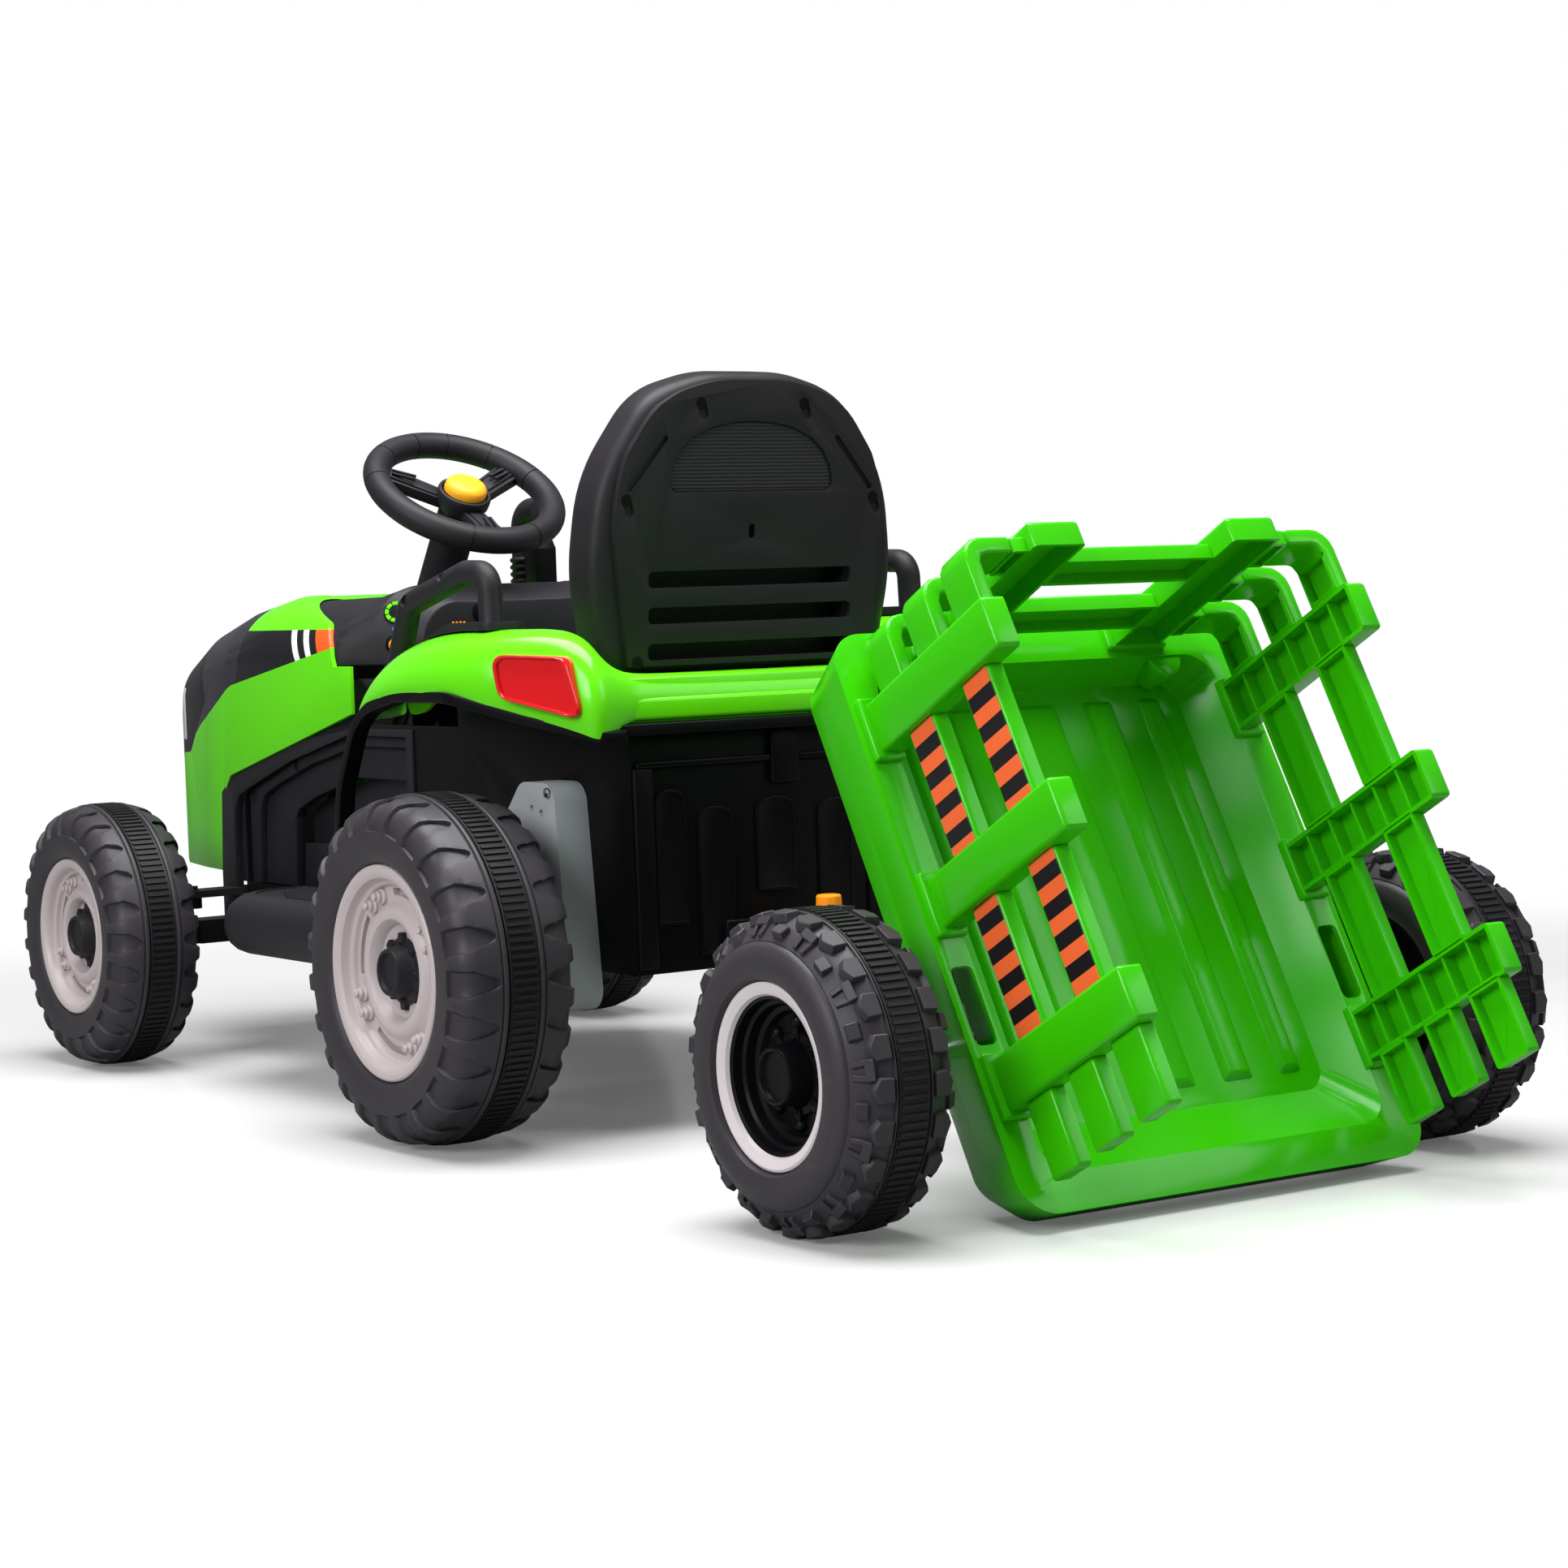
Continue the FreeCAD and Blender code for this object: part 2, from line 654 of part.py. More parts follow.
def battery():
    """Sealed battery that stands on the body's floor."""
    length, width, height = BATTERY
    floor = BODY_BOTTOM + BODY_WALL
    return block(BATTERY_X, BATTERY_X + length, -width / 2, width / 2, floor, floor + height)


def front_axle_beam():
    """Beam under the tongue with a neck and an upright boss at each end for the kingpins."""
    neck = KINGPIN_Y - BOSS_R - NECK_LENGTH
    low = BODY_BOTTOM - BEAM_H
    pieces = [block(WHEELBASE - BEAM_W / 2, WHEELBASE + BEAM_W / 2, -neck, neck, low, BODY_BOTTOM),
              block(WHEELBASE - BOSS_R, WHEELBASE + BOSS_R, -KINGPIN_Y, KINGPIN_Y, low, BODY_BOTTOM)]
    bores = []
    for side in (-1, 1):
        foot = V(WHEELBASE, side * KINGPIN_Y, FRONT_R - BOSS_HALF)
        head = V(WHEELBASE, side * KINGPIN_Y, FRONT_R + BOSS_HALF)
        pieces.append(rod(BOSS_R, foot, head))
        bores.append(rod(KINGPIN_R + RUN_GAP, foot, head))
    beam = fused(pieces)
    for bore in bores:
        beam = beam.cut(bore)
    return beam


def knuckle():
    """Left steering knuckle: two ears, kingpin, stub axle and an arm to the rear."""
    upper = FRONT_R + BOSS_HALF + PART_GAP
    lower = FRONT_R - BOSS_HALF - PART_GAP
    plate_in = KINGPIN_Y + BOSS_R + PART_GAP
    plate_out = FRONT_TRACK - FRONT_W / 2 - PART_GAP
    ear_r = BOSS_R + PART_GAP
    pieces = [rod(KINGPIN_R, V(WHEELBASE, KINGPIN_Y, lower - EAR_T), V(WHEELBASE, KINGPIN_Y, upper + EAR_T))]
    for low in (lower - EAR_T, upper):
        pieces.append(rod(ear_r, V(WHEELBASE, KINGPIN_Y, low), V(WHEELBASE, KINGPIN_Y, low + EAR_T)))
        pieces.append(block(WHEELBASE - ear_r, WHEELBASE + ear_r, KINGPIN_Y, plate_out, low, low + EAR_T))
    foot = lower - EAR_T
    pieces.append(block(WHEELBASE - ear_r, WHEELBASE + ear_r, plate_in, plate_out, foot, upper + EAR_T))
    reach = axle_reach(FRONT_TRACK, FRONT_W)
    pieces.append(rod(STUB_R, V(WHEELBASE, plate_in, FRONT_R), V(WHEELBASE, reach, FRONT_R)))
    half = ARM_PIN_R + ARM_PIN_WALL
    tip = WHEELBASE - ARM
    pieces.append(block(tip, WHEELBASE, KINGPIN_Y - half, KINGPIN_Y + half, upper, upper + EAR_T))
    for radius, top in ((half, upper + EAR_T), (ARM_PIN_R, upper + EAR_T + ARM_PIN_H)):
        pieces.append(rod(radius, V(tip, KINGPIN_Y, upper), V(tip, KINGPIN_Y, top)))
    return fused(pieces)


def slot_prism(x, y, half_x, radius, low, high):
    """A long hole along X with round ends."""
    reach = half_x - radius
    hole = block(x - reach, x + reach, y - radius, y + radius, low, high)
    ends = [rod(radius, V(x + side * reach, y, low), V(x + side * reach, y, high)) for side in (-1, 1)]
    return fused([hole] + ends)


def tie_level():
    """Height of the tie rod's lower face, just over the knuckle arms."""
    return FRONT_R + BOSS_HALF + PART_GAP + EAR_T + PART_GAP


def tie_rod():
    """Flat bar that joins both knuckle arms, with a middle slot for the crank ball."""
    low = tie_level()
    high = low + TIE_T
    x = WHEELBASE - ARM
    end = KINGPIN_Y + ARM_PIN_R + TIE_END
    bar = block(x - TIE_W / 2, x + TIE_W / 2, -end, end, low, high)
    pin_travel = ARM * (1 - math.cos(math.radians(STEER_LIMIT)))
    pin_slot = ARM_PIN_R + SLOT_PLAY
    for side in (-1, 1):
        hole = slot_prism(x, side * KINGPIN_Y, pin_slot + pin_travel, pin_slot, low - 1, high + 1)
        bar = bar.cut(hole)
    return bar.cut(slot_prism(x, 0, BALL_R + SLOT_PLAY + BALL_PLAY, BALL_R + SLOT_PLAY, low - 1, high + 1))


# Steering, drawn along Z about the middle of the steering wheel and then tilted

def steering_place(shape):
    """Turns a piece drawn along Z into the line of the steering shaft."""
    return tilted(shape, -STEER_TILT, STEER_X, STEER_Z)


def steering_wheel():
    """Grip ring with three spokes and a hub with a pocket for the horn button."""
    ring_r = STEER_R - STEER_GRIP_R
    pieces = [Part.makeTorus(ring_r, STEER_GRIP_R)]
    pieces.append(Part.makeCylinder(STEER_HUB_R, STEER_HUB_T, V(0, 0, HUB_PROUD - STEER_HUB_T)))
    for angle in (60, 180, 300):
        spoke = block(0, ring_r, -SPOKE_W / 2, SPOKE_W / 2, -SPOKE_T, 0)
        spoke.rotate(V(0, 0, 0), V(0, 0, 1), angle)
        pieces.append(spoke)
    wheel = fused(pieces)
    pocket = Part.makeCylinder(HORN_R + PART_GAP, STEER_HUB_T, V(0, 0, -HORN_TRAVEL))
    bore = Part.makeCylinder(AXLE_R, 2 * STEER_HUB_T, V(0, 0, -STEER_HUB_T))
    return steering_place(wheel.cut(pocket).cut(bore))


def horn_button():
    """Round button in the middle of the steering wheel, which stands proud by its travel and more."""
    return steering_place(Part.makeCylinder(HORN_R, HORN_T, V(0, 0, HORN_GAP)))


def shaft_reach():
    """Length of the steering shaft, and of the crank that puts its ball in the tie rod's slot."""
    ahead = WHEELBASE - ARM - STEER_X
    down = STEER_Z - tie_level() - TIE_T / 2
    tilt = math.radians(STEER_TILT)
    length = ahead * math.sin(tilt) + down * math.cos(tilt)
    return length, down * math.sin(tilt) - ahead * math.cos(tilt)


def steering_shaft():
    """Rod from the steering wheel to the tie rod, with a crank and a ball at its foot."""
    length, crank = shaft_reach()
    pieces = [Part.makeCylinder(AXLE_R, length - HORN_TRAVEL, V(0, 0, -length))]
    pieces.append(block(-crank, 0, -CRANK_HALF, CRANK_HALF, -length, CRANK_T - length))
    pieces.append(Part.makeSphere(BALL_R, V(-crank, 0, -length)))
    return steering_place(fused(pieces))


def steering_column():
    """Black tube above the dashboard that the shaft turns in."""
    foot = HUB_PROUD - STEER_HUB_T - PART_GAP - COLUMN_LENGTH
    tube = Part.makeCylinder(COLUMN_R, COLUMN_LENGTH, V(0, 0, foot))
    return steering_place(tube.cut(Part.makeCylinder(AXLE_R + RUN_GAP, 2 * COLUMN_LENGTH, V(0, 0, foot - 1))))


def column_path(gap):
    """The room that the steering column takes through the bonnet and the dashboard."""
    return steering_place(Part.makeCylinder(COLUMN_R + gap, shaft_reach()[0], V(0, 0, -shaft_reach()[0])))


# Bonnet, nose and dashboard

def hood_section(x, half, top, low, inset):
    """One upright section of the bonnet: straight sides, round shoulders and a flat crown."""
    half -= inset
    top -= inset
    shoulder = top - SHOULDER_SHARE * half
    crown = half - CROWN_SHARE * half
    ease = EASE_SHARE * half
    points = [V(x, -half, low), V(x, -half, shoulder), V(x, -crown, top), V(x, crown, top),
              V(x, half, shoulder), V(x, half, low)]
    left_mid = V(x, -half + ease, top - ease)
    right_mid = V(x, half - ease, top - ease)
    edges = [Part.makeLine(points[0], points[1]), Part.Arc(points[1], left_mid, points[2]).toShape(),
             Part.makeLine(points[2], points[3]), Part.Arc(points[3], right_mid, points[4]).toShape(),
             Part.makeLine(points[4], points[5]), Part.makeLine(points[5], points[0])]
    return Part.Wire(edges)


def hood_form(inset):
    """The whole bonnet from the dashboard to the nose, as a solid inset from the outside."""
    low = BONNET_SKIRT - (40 if inset else 0)
    length = BONNET_NOSE - BONNET_REAR
    stations = ((0.0, 0.0, 0.0), (0.40, 0.0, 2.0), (0.56, 0.0, 12.0), (0.75, 11.0, 28.0), (0.91, 25.0, 49.0),
                (1.0, 41.0, 70.0))
    sections = []
    for share, narrow, drop in stations:
        x = BONNET_REAR + share * length
        if inset:
            x += -inset if share == 1.0 else (-40 if share == 0.0 else 0)
        sections.append(hood_section(x, BONNET_HALF - narrow, BONNET_TOP - drop, low, inset))
    return Part.makeLoft(sections, True, True)


def hood_shell():
    """Bonnet skin with its slanted lower edge and the step for the dashboard."""
    shell = hood_form(0).cut(hood_form(BONNET_WALL))
    rear = BONNET_REAR - 50
    low = BONNET_SKIRT - 60
    rise = [(rear, low), (rear, BODY_TOP + EDGE_RISE), (BONNET_REAR, BODY_TOP + EDGE_RISE)]
    rise += [(BODY_FRONT + across, BODY_TOP - drop) for across, drop in EDGE_STEPS]
    rise += [(BODY_FRONT + EDGE_FOOT, BONNET_SKIRT), (BODY_FRONT + EDGE_FOOT, low)]
    shell = shell.cut(prism(rise, [0, 0, 0, EDGE_ROUND, EDGE_ROUND, 0, 0], "XZ", -WIDE, WIDE))
    seam = [(rear, DASH_FOOT), (SEAM_SIDE, DASH_FOOT), (SEAM_SIDE + 6, DASH_FOOT + 16),
            (SEAM_SIDE + 20, DASH_FOOT + 34), (DASH_SEAM, BONNET_TOP), (DASH_SEAM, HIGH), (rear, HIGH)]
    return shell.cut(prism(seam, [0, 0, 20, 20, 0, 0, 0], "XZ", -WIDE, WIDE)).cut(column_path(PART_GAP))


def nose_region():
    """The upper front of the bonnet, which is a separate black cap."""
    edge = [(BONNET_NOSE - back, BONNET_TOP - drop) for back, drop in NOSE_EDGE]
    return prism(edge, [0, 8, 14, 0, 0], "XZ", -WIDE, WIDE)


def lens_region():
    """The two front corners where the lamp covers sit."""
    left = block(LENS_BACK, BONNET_NOSE + 1, LENS_INNER, BONNET_HALF, LENS_LOW, LENS_HIGH)
    return fused([left, mirrored(left)])


def dashboard():
    """Hood behind the bonnet, which slides under the bonnet's edge by a short lip."""
    def form(inset):
        lip = BONNET_WALL + DASH_GAP + inset
        low = DASH_FOOT - (30 if inset else 0)
        stations = ((DASH_SEAM + DASH_LIP + (9 if inset else 0), BONNET_HALF, BONNET_TOP - 3, lip),
                    (SEAM_SIDE, BONNET_HALF, BONNET_TOP - 1, lip),
                    (DASH_MID, DASH_MID_HALF, DASH_TOP, inset),
                    (DASH_REAR + inset, DASH_REAR_HALF, DASH_TOP - DASH_CROWN_DROP, inset))
        sections = [hood_section(x, half, top, low, gap) for x, half, top, gap in stations]
        return Part.makeLoft(sections, True, True)

    shell = form(0).cut(form(BONNET_WALL))
    return shell.cut(column_path(0)).cut(button_form(BUTTON_R + PART_GAP, SEAM_SIDE))


def button_form(radius, end):
    """A round form through the dashboard's rear face where the start button sits."""
    return rod(radius, V(DASH_REAR - BUTTON_PROUD, BUTTON_Y, BUTTON_Z), V(end, BUTTON_Y, BUTTON_Z))


def start_button():
    """Round push button on the dashboard with a flange behind the panel."""
    inside = DASH_REAR + BONNET_WALL + DASH_GAP
    end = inside + BUTTON_FLANGE
    flange = rod(BUTTON_R + BUTTON_FLANGE, V(inside, BUTTON_Y, BUTTON_Z), V(end, BUTTON_Y, BUTTON_Z))
    return fused([button_form(BUTTON_R, end), flange])


def exhaust_stack():
    """Ribbed stack with a bore and a plain elbow that turns to the rear."""
    rings = []
    for i in range(STACK_RIBS):
        low = i * RIB_PITCH
        for share, radius in ((0.0, STACK_R - RIB_DEPTH), (0.3, STACK_R), (0.6, STACK_R),
                              (0.9, STACK_R - RIB_DEPTH)):
            centre = V(STACK_X, STACK_Y, STACK_BASE + low + share * RIB_PITCH)
            rings.append(Part.Wire(Part.makeCircle(radius, centre, V(0, 0, 1))))
    ribs = Part.makeLoft(rings, True, True)
    neck = STACK_BASE + STACK_RIBS * RIB_PITCH
    start = V(STACK_X, STACK_Y, neck - RIB_PITCH)
    bend = V(STACK_X, STACK_Y, neck + ELBOW_RISE)
    mouth = V(STACK_X - ELBOW_REACH, STACK_Y, neck + ELBOW_RISE)
    elbow = pipe([start, bend, mouth], ELBOW_BEND, STACK_R - RIB_DEPTH)
    bore = rod(STACK_BORE, V(STACK_X, STACK_Y, STACK_BASE - 1), V(STACK_X, STACK_Y, neck))
    return fused([ribs, elbow]).cut(bore).cut(hood_form(0))


def stack_post():
    """Flat upright beside the stack."""
    x = STACK_X - STACK_R - POST_W / 2 - PART_GAP
    half = POST_W / 2
    low = STACK_BASE - POST_SINK
    shape = [(x - half, low), (x + half, low), (x + half, POST_TOP - POST_SLOPE / 2),
             (x, POST_TOP), (x - half, POST_TOP - POST_SLOPE)]
    post = prism(shape, 2, "XZ", STACK_Y - half, STACK_Y + half)
    return post.cut(hood_form(0))


# Green rear body, trim, lamps, handles and seat

def fender_plan(inset):
    """Plan outline of the left mudguard, with its slanted rear corner."""
    front = FENDER_FRONT - inset
    out = FENDER_HALF - inset
    rear = FENDER_REAR + inset
    points = [(front, BODY_HALF), (front, FENDER_INNER + 8), (front - PLAN_NOSE, FENDER_HALF - PLAN_IN),
              (front - PLAN_SIDE, out), (FENDER_REAR + CORNER_X, out), (rear, CORNER_Y - inset * 0.6),
              (rear, BODY_HALF)]
    return points, [0, 40, 30, 24, 40, 12, 0]


def arch_line(drop):
    """Lower edge of the mudguard seen from the side, from the rear corner to its front end."""
    points = [(FENDER_REAR + along, ARCH_TOP - fall - drop) for along, fall in ARCH_REAR]
    points += [(FENDER_FRONT - along, ARCH_TOP - fall - drop) for along, fall in ARCH_FRONT]
    return points + [(FENDER_FRONT - FOOT_BACK - drop * 0.7, FENDER_FOOT - drop * 0.7)]


def arch_front(drop):
    """Front edge of the wheel arch from the mudguard's end down to the foot board."""
    foot = BOARD_REAR + TRIM_AHEAD - drop
    bend = (foot - TRIM_BEND + drop * 0.1, FENDER_FOOT - TRIM_KNEE - drop * 0.4)
    return [bend, (foot - 1, FENDER_FOOT - 2 * TRIM_KNEE), (foot, BOARD_TOP)]


def fender_side(inset):
    """Side outline of the mudguard without its arch."""
    front = FENDER_FRONT - inset
    rear = FENDER_REAR + inset
    top = FENDER_TOP - inset
    points = [(front, 0)] + [(FENDER_FRONT - along, top - fall) for along, fall in SIDE_FRONT]
    points[1] = (front, points[1][1])
    points += [(FENDER_REAR + SIDE_CROWN, top), (rear, top - SIDE_REAR), (rear, 0)]
    return points, [0, 20, 60, 90, 60, 14, 0]


def fender_across(inset):
    """Cross outline of the mudguard, rounded along its outer edge."""
    out = FENDER_HALF - inset
    top = FENDER_TOP - inset
    return [(0, 0), (out, 0), (out, top), (0, top)], [0, 0, FENDER_ROUND - inset, 0]


def fender_crown(inset):
    """Outline that rounds the mudguard's front outer corner from above, drawn across that corner."""
    turn = math.radians(CROWN_TURN)
    out = FENDER_HALF * math.cos(turn) + (FENDER_FRONT - CROWN_BACK) * math.sin(turn) - inset
    top = FENDER_TOP - inset
    across = [(-WIDE, -1), (out, -1), (out, top), (-WIDE, top)]
    crown = prism(across, [0, 0, CROWN_ROUND - inset, 0], "YZ", -WIDE, WIDE)
    crown.rotate(V(0, 0, 0), V(0, 0, 1), -CROWN_TURN)
    return crown


def fender_form(inset):
    """The closed form of the left mudguard, inset from its outside."""
    side, side_radii = fender_side(inset)
    plan, plan_radii = fender_plan(inset)
    across, across_radii = fender_across(inset)
    form = prism(side, side_radii, "XZ", 0, FENDER_HALF)
    form = form.common(prism(plan, plan_radii, "XY", 0, HIGH))
    form = form.common(prism(across, across_radii, "YZ", -WIDE, WIDE))
    return form.common(fender_crown(inset))


def left_mudguard():
    """Sheet of one mudguard: top, front, outer side and slanted rear corner."""
    arch = [(FENDER_REAR - ARCH_PAST, -1)] + arch_line(0) + [(WIDE, FENDER_FOOT), (WIDE, -1)]
    sheet = fender_form(0).cut(prism(arch, ARCH_RADII + [0, 0, 0], "XZ", 0, WIDE))
    sheet = sheet.cut(fender_form(FENDER_WALL))
    return sheet.cut(block(-WIDE, WIDE, 0, FENDER_INNER, 0, HIGH))


def fender_body():
    """Both mudguards and the deck between them, in one moulding."""
    sheet = left_mudguard()
    seam = FENDER_INNER + 1
    deck = block(DECK_REAR, DECK_FRONT, -seam, seam, DECK_BOTTOM, DECK_LEVEL)
    skirt = block(DECK_REAR, DECK_REAR + DECK_THICK, -seam, seam, DECK_SKIRT, DECK_LEVEL)
    cheek = prism([(FENDER_REAR + 1, DECK_SKIRT + 1), (FENDER_REAR + 1, FENDER_TOP - SIDE_REAR - 1),
                   (RISER_REAR + 1, FENDER_TOP - CHEEK_DROP), (RISER_REAR + 1, DECK_SKIRT + CHEEK_DROP)],
                  0, "XZ", FENDER_INNER - FENDER_WALL, seam)
    inner = FENDER_INNER - FENDER_WALL
    riser = block(RISER_REAR, RISER_FRONT, inner, FENDER_INNER, DECK_BOTTOM, FENDER_TOP)
    top = block(RISER_REAR, RISER_FRONT, inner, FENDER_INNER + 2, FENDER_TOP - FENDER_WALL, FENDER_TOP)
    left = [sheet, riser, top, cheek]
    shape = fused([deck, skirt] + left + [mirrored(piece) for piece in left])
    return shape.cut(lamp_form()).cut(mirrored(lamp_form()))


def fender_trim():
    """Black strip under the lower edge of the mudguards, down to the foot boards, and under the deck."""
    foot = BOARD_REAR + TRIM_AHEAD
    band = [(FENDER_REAR - ARCH_PAST, 0)] + arch_line(0) + arch_front(0) + [(foot, 0)]
    inside = [(FENDER_REAR - 2 * ARCH_PAST, -1)] + arch_line(TRIM_DROP) + arch_front(TRIM_DROP)
    inside += [(foot - TRIM_DROP, -1)]
    radii = ARCH_RADII + [40, 40, 20, 0, 0]
    strip = prism(band, radii, "XZ", FENDER_INNER, FENDER_HALF - 1).cut(prism(inside, radii, "XZ", 0, WIDE))
    strip = strip.cut(block(-WIDE, WIDE, 0, WIDE, -2, BOARD_TOP))
    outside = fender_plan(0)[0]
    within = fender_plan(TRIM_DEPTH)[0]
    full = [(WIDE, 0), (WIDE, FENDER_HALF - 1)] + outside[4:6] + [(outside[5][0], 0)]
    core = [(WIDE, 0), (WIDE, within[3][1])] + within[4:6] + [(within[5][0], 0)]
    strip = strip.common(prism(full, [0, 0, 40, 12, 0], "XY", -1, HIGH))
    strip = strip.cut(prism(core, [0, 0, 40, 12, 0], "XY", -2, HIGH + 1))
    rear = DECK_REAR + DECK_THICK
    rail = block(DECK_REAR - TRIM_DROP, rear, -FENDER_INNER, FENDER_INNER, DECK_SKIRT - TRIM_DROP, DECK_SKIRT)
    return Part.makeCompound([strip, mirrored(strip), rail])


def lamp_form():
    """Slanted four-sided form of the left tail lamp, from behind the rear corner's wall to proud of it."""
    foot = V(FENDER_REAR + CORNER_X, FENDER_HALF, 0)
    along = V(-CORNER_X, CORNER_Y - FENDER_HALF, 0).normalize()
    outward = V(along.y, -along.x, 0)
    points = [foot + along * reach + V(0, 0, FENDER_TOP + rise) for reach, rise in LAMP_CORNERS]
    face = Part.Face(round_path(points, LAMP_ROUND, True))
    face.translate(outward * -LAMP_BACK)
    return face.extrude(outward * (LAMP_PROUD + LAMP_BACK))


def tail_lamps():
    """Two red lamp covers set through the mudguards' rear corners."""
    return Part.makeCompound([lamp_form(), mirrored(lamp_form())])


def grab_handles():
    """Two arched handles, each with a base plate on the mudguard."""
    base = FENDER_TOP + PLATE_T
    route = [V(HANDLE_FRONT, HANDLE_Y, HANDLE_FOOT), V(HANDLE_FRONT - 22, HANDLE_Y, HANDLE_TOP - 22),
             V(HANDLE_REAR + 34, HANDLE_Y, HANDLE_TOP), V(HANDLE_REAR + 2, HANDLE_Y, HANDLE_TOP - 1),
             V(HANDLE_REAR, HANDLE_Y, FENDER_TOP)]
    arch = pipe(route, 14, HANDLE_R)
    plan = [(HANDLE_REAR - 20, HANDLE_Y - PLATE_HALF), (HANDLE_FRONT + 18, HANDLE_Y - PLATE_HALF),
            (HANDLE_FRONT + 4, HANDLE_Y + PLATE_HALF - 6), (HANDLE_REAR - 20, HANDLE_Y + PLATE_HALF)]
    crown = FENDER_FRONT - SIDE_FRONT[2][0]
    low = HANDLE_FOOT - PLATE_SINK
    tail = HANDLE_REAR - PLATE_SINK
    nose = HANDLE_FRONT + PLATE_SINK
    side = [(nose, low), (nose - PLATE_SINK / 2, HANDLE_FOOT - PLATE_T), (crown, base), (tail, base),
            (tail, low)]
    plate = prism(plan, 8, "XY", low, base)
    plate = plate.common(prism(side, [0, 0, 60, 0, 0], "XZ", 0, WIDE))
    handle = fused([arch, plate]).cut(fender_form(0))
    return Part.makeCompound([handle, mirrored(handle)])


def back_outline(inset, level, wide, neck_share):
    """Rounded outline of the backrest in a cross plane; the neck share says how wide it is near the top."""
    low = DECK_LEVEL + inset
    half = wide - inset
    top = SEAT_TOP - inset
    edges = []
    for sign in (1, -1):
        foot = V(level, sign * half * 0.89, low)
        hip = V(level, sign * half, top - 113)
        neck = V(level, sign * half * neck_share, top - 32)
        edges.append(Part.makeLine(foot, hip))
        edges.append(Part.Arc(hip, V(level, sign * half * (neck_share + 0.155), top - 72), neck).toShape())
        brow = V(level, sign * half * (neck_share - 0.35), top - 8)
        edges.append(Part.Arc(neck, brow, V(level, 0, top)).toShape())
    edges.append(Part.makeLine(V(level, -half * 0.89, low), V(level, half * 0.89, low)))
    return Part.Wire(Part.__sortEdges__(edges))


def lean(shape):
    """Leans a piece of the backrest to the rear about its foot."""
    copy = shape.copy()
    copy.rotate(V(SEAT_BACK_X, 0, DECK_LEVEL), V(0, 1, 0), -SEAT_LEAN)
    return copy


def seat_shell():
    """Seat base and backrest, hollow from below and from behind."""
    level = DECK_LEVEL
    face = SEAT_BACK_X + SEAT_BACK_DEPTH
    back = Part.makeLoft([back_outline(0, SEAT_BACK_X, SEAT_REAR_HALF, REAR_NECK),
                          back_outline(0, face, SEAT_HALF, FRONT_NECK)], True, True)
    hollow = Part.makeLoft([back_outline(SEAT_WALL, SEAT_BACK_X - 1, SEAT_REAR_HALF, REAR_NECK),
                            back_outline(SEAT_WALL, face - SEAT_WALL, SEAT_HALF, FRONT_NECK)], True, True)
    back = lean(back.cut(hollow))
    front = face - SEAT_LAP
    plan = [(front, -SEAT_BASE_HALF), (SEAT_BASE_FRONT, -SEAT_BASE_HALF), (SEAT_BASE_FRONT, SEAT_BASE_HALF),
            (front, SEAT_BASE_HALF)]
    base = prism(plan, [0, SEAT_CORNER, SEAT_CORNER, 0], "XY", level, level + SEAT_BASE_THICK)
    inner = [(front + SEAT_WALL, -SEAT_BASE_HALF + SEAT_WALL),
             (SEAT_BASE_FRONT - SEAT_WALL, -SEAT_BASE_HALF + SEAT_WALL),
             (SEAT_BASE_FRONT - SEAT_WALL, SEAT_BASE_HALF - SEAT_WALL),
             (front + SEAT_WALL, SEAT_BASE_HALF - SEAT_WALL)]
    inner_corner = SEAT_CORNER - SEAT_WALL
    base = base.cut(prism(inner, [0, inner_corner, inner_corner, 0], "XY", level - 1,
                          level + SEAT_BASE_THICK - SEAT_WALL))
    below = block(-WIDE, WIDE, -WIDE, WIDE, 0, level)
    return fused([back.cut(lean(hollow)), base.cut(lean(hollow))]).cut(below)


def screw_places():
    """Where the screws sit on the rear panel: across and up."""
    return [(side * y, DECK_LEVEL + rise) for y, rise in SCREW_PLACES for side in (-1, 1)]


def seat_back_panel():
    """Rear cover of the backrest with three slots and screw holes."""
    rear = SEAT_BACK_X - SEAT_PANEL_THICK
    shape = back_outline(SEAT_PANEL_INSET, rear, SEAT_REAR_HALF, REAR_NECK)
    panel = Part.Face(shape).extrude(V(SEAT_PANEL_THICK, 0, 0))
    for i in range(3):
        low = DECK_LEVEL + SLOT_RISE + i * SLOT_PITCH
        high = low + SLOT_HEIGHT
        shape = [(-SLOT_HALF, low), (SLOT_HALF, low), (SLOT_HALF, high), (-SLOT_HALF, high)]
        panel = panel.cut(prism(shape, SLOT_HEIGHT / 3, "YZ", rear - 1, SEAT_BACK_X + 1))
    for y, z in screw_places():
        panel = panel.cut(rod(SCREW_R, V(rear - 1, y, z), V(SEAT_BACK_X + 1, y, z)))
        panel = panel.cut(rod(SCREW_HEAD_R, V(rear - 1, y, z), V(rear + SCREW_HEAD_T, y, z)))
    return lean(panel).cut(block(-WIDE, WIDE, -WIDE, WIDE, 0, DECK_LEVEL))


def seat_screws():
    """Screws that hold the rear panel, as separate solids."""
    rear = SEAT_BACK_X - SEAT_PANEL_THICK
    screws = []
    for y, z in screw_places():
        shank = rod(SCREW_R, V(rear, y, z), V(SEAT_BACK_X, y, z))
        head = rod(SCREW_HEAD_R, V(rear, y, z), V(rear + SCREW_HEAD_T, y, z))
        screws.append(lean(fused([shank, head])))
    return Part.makeCompound(screws)


# Foot boards and pedal

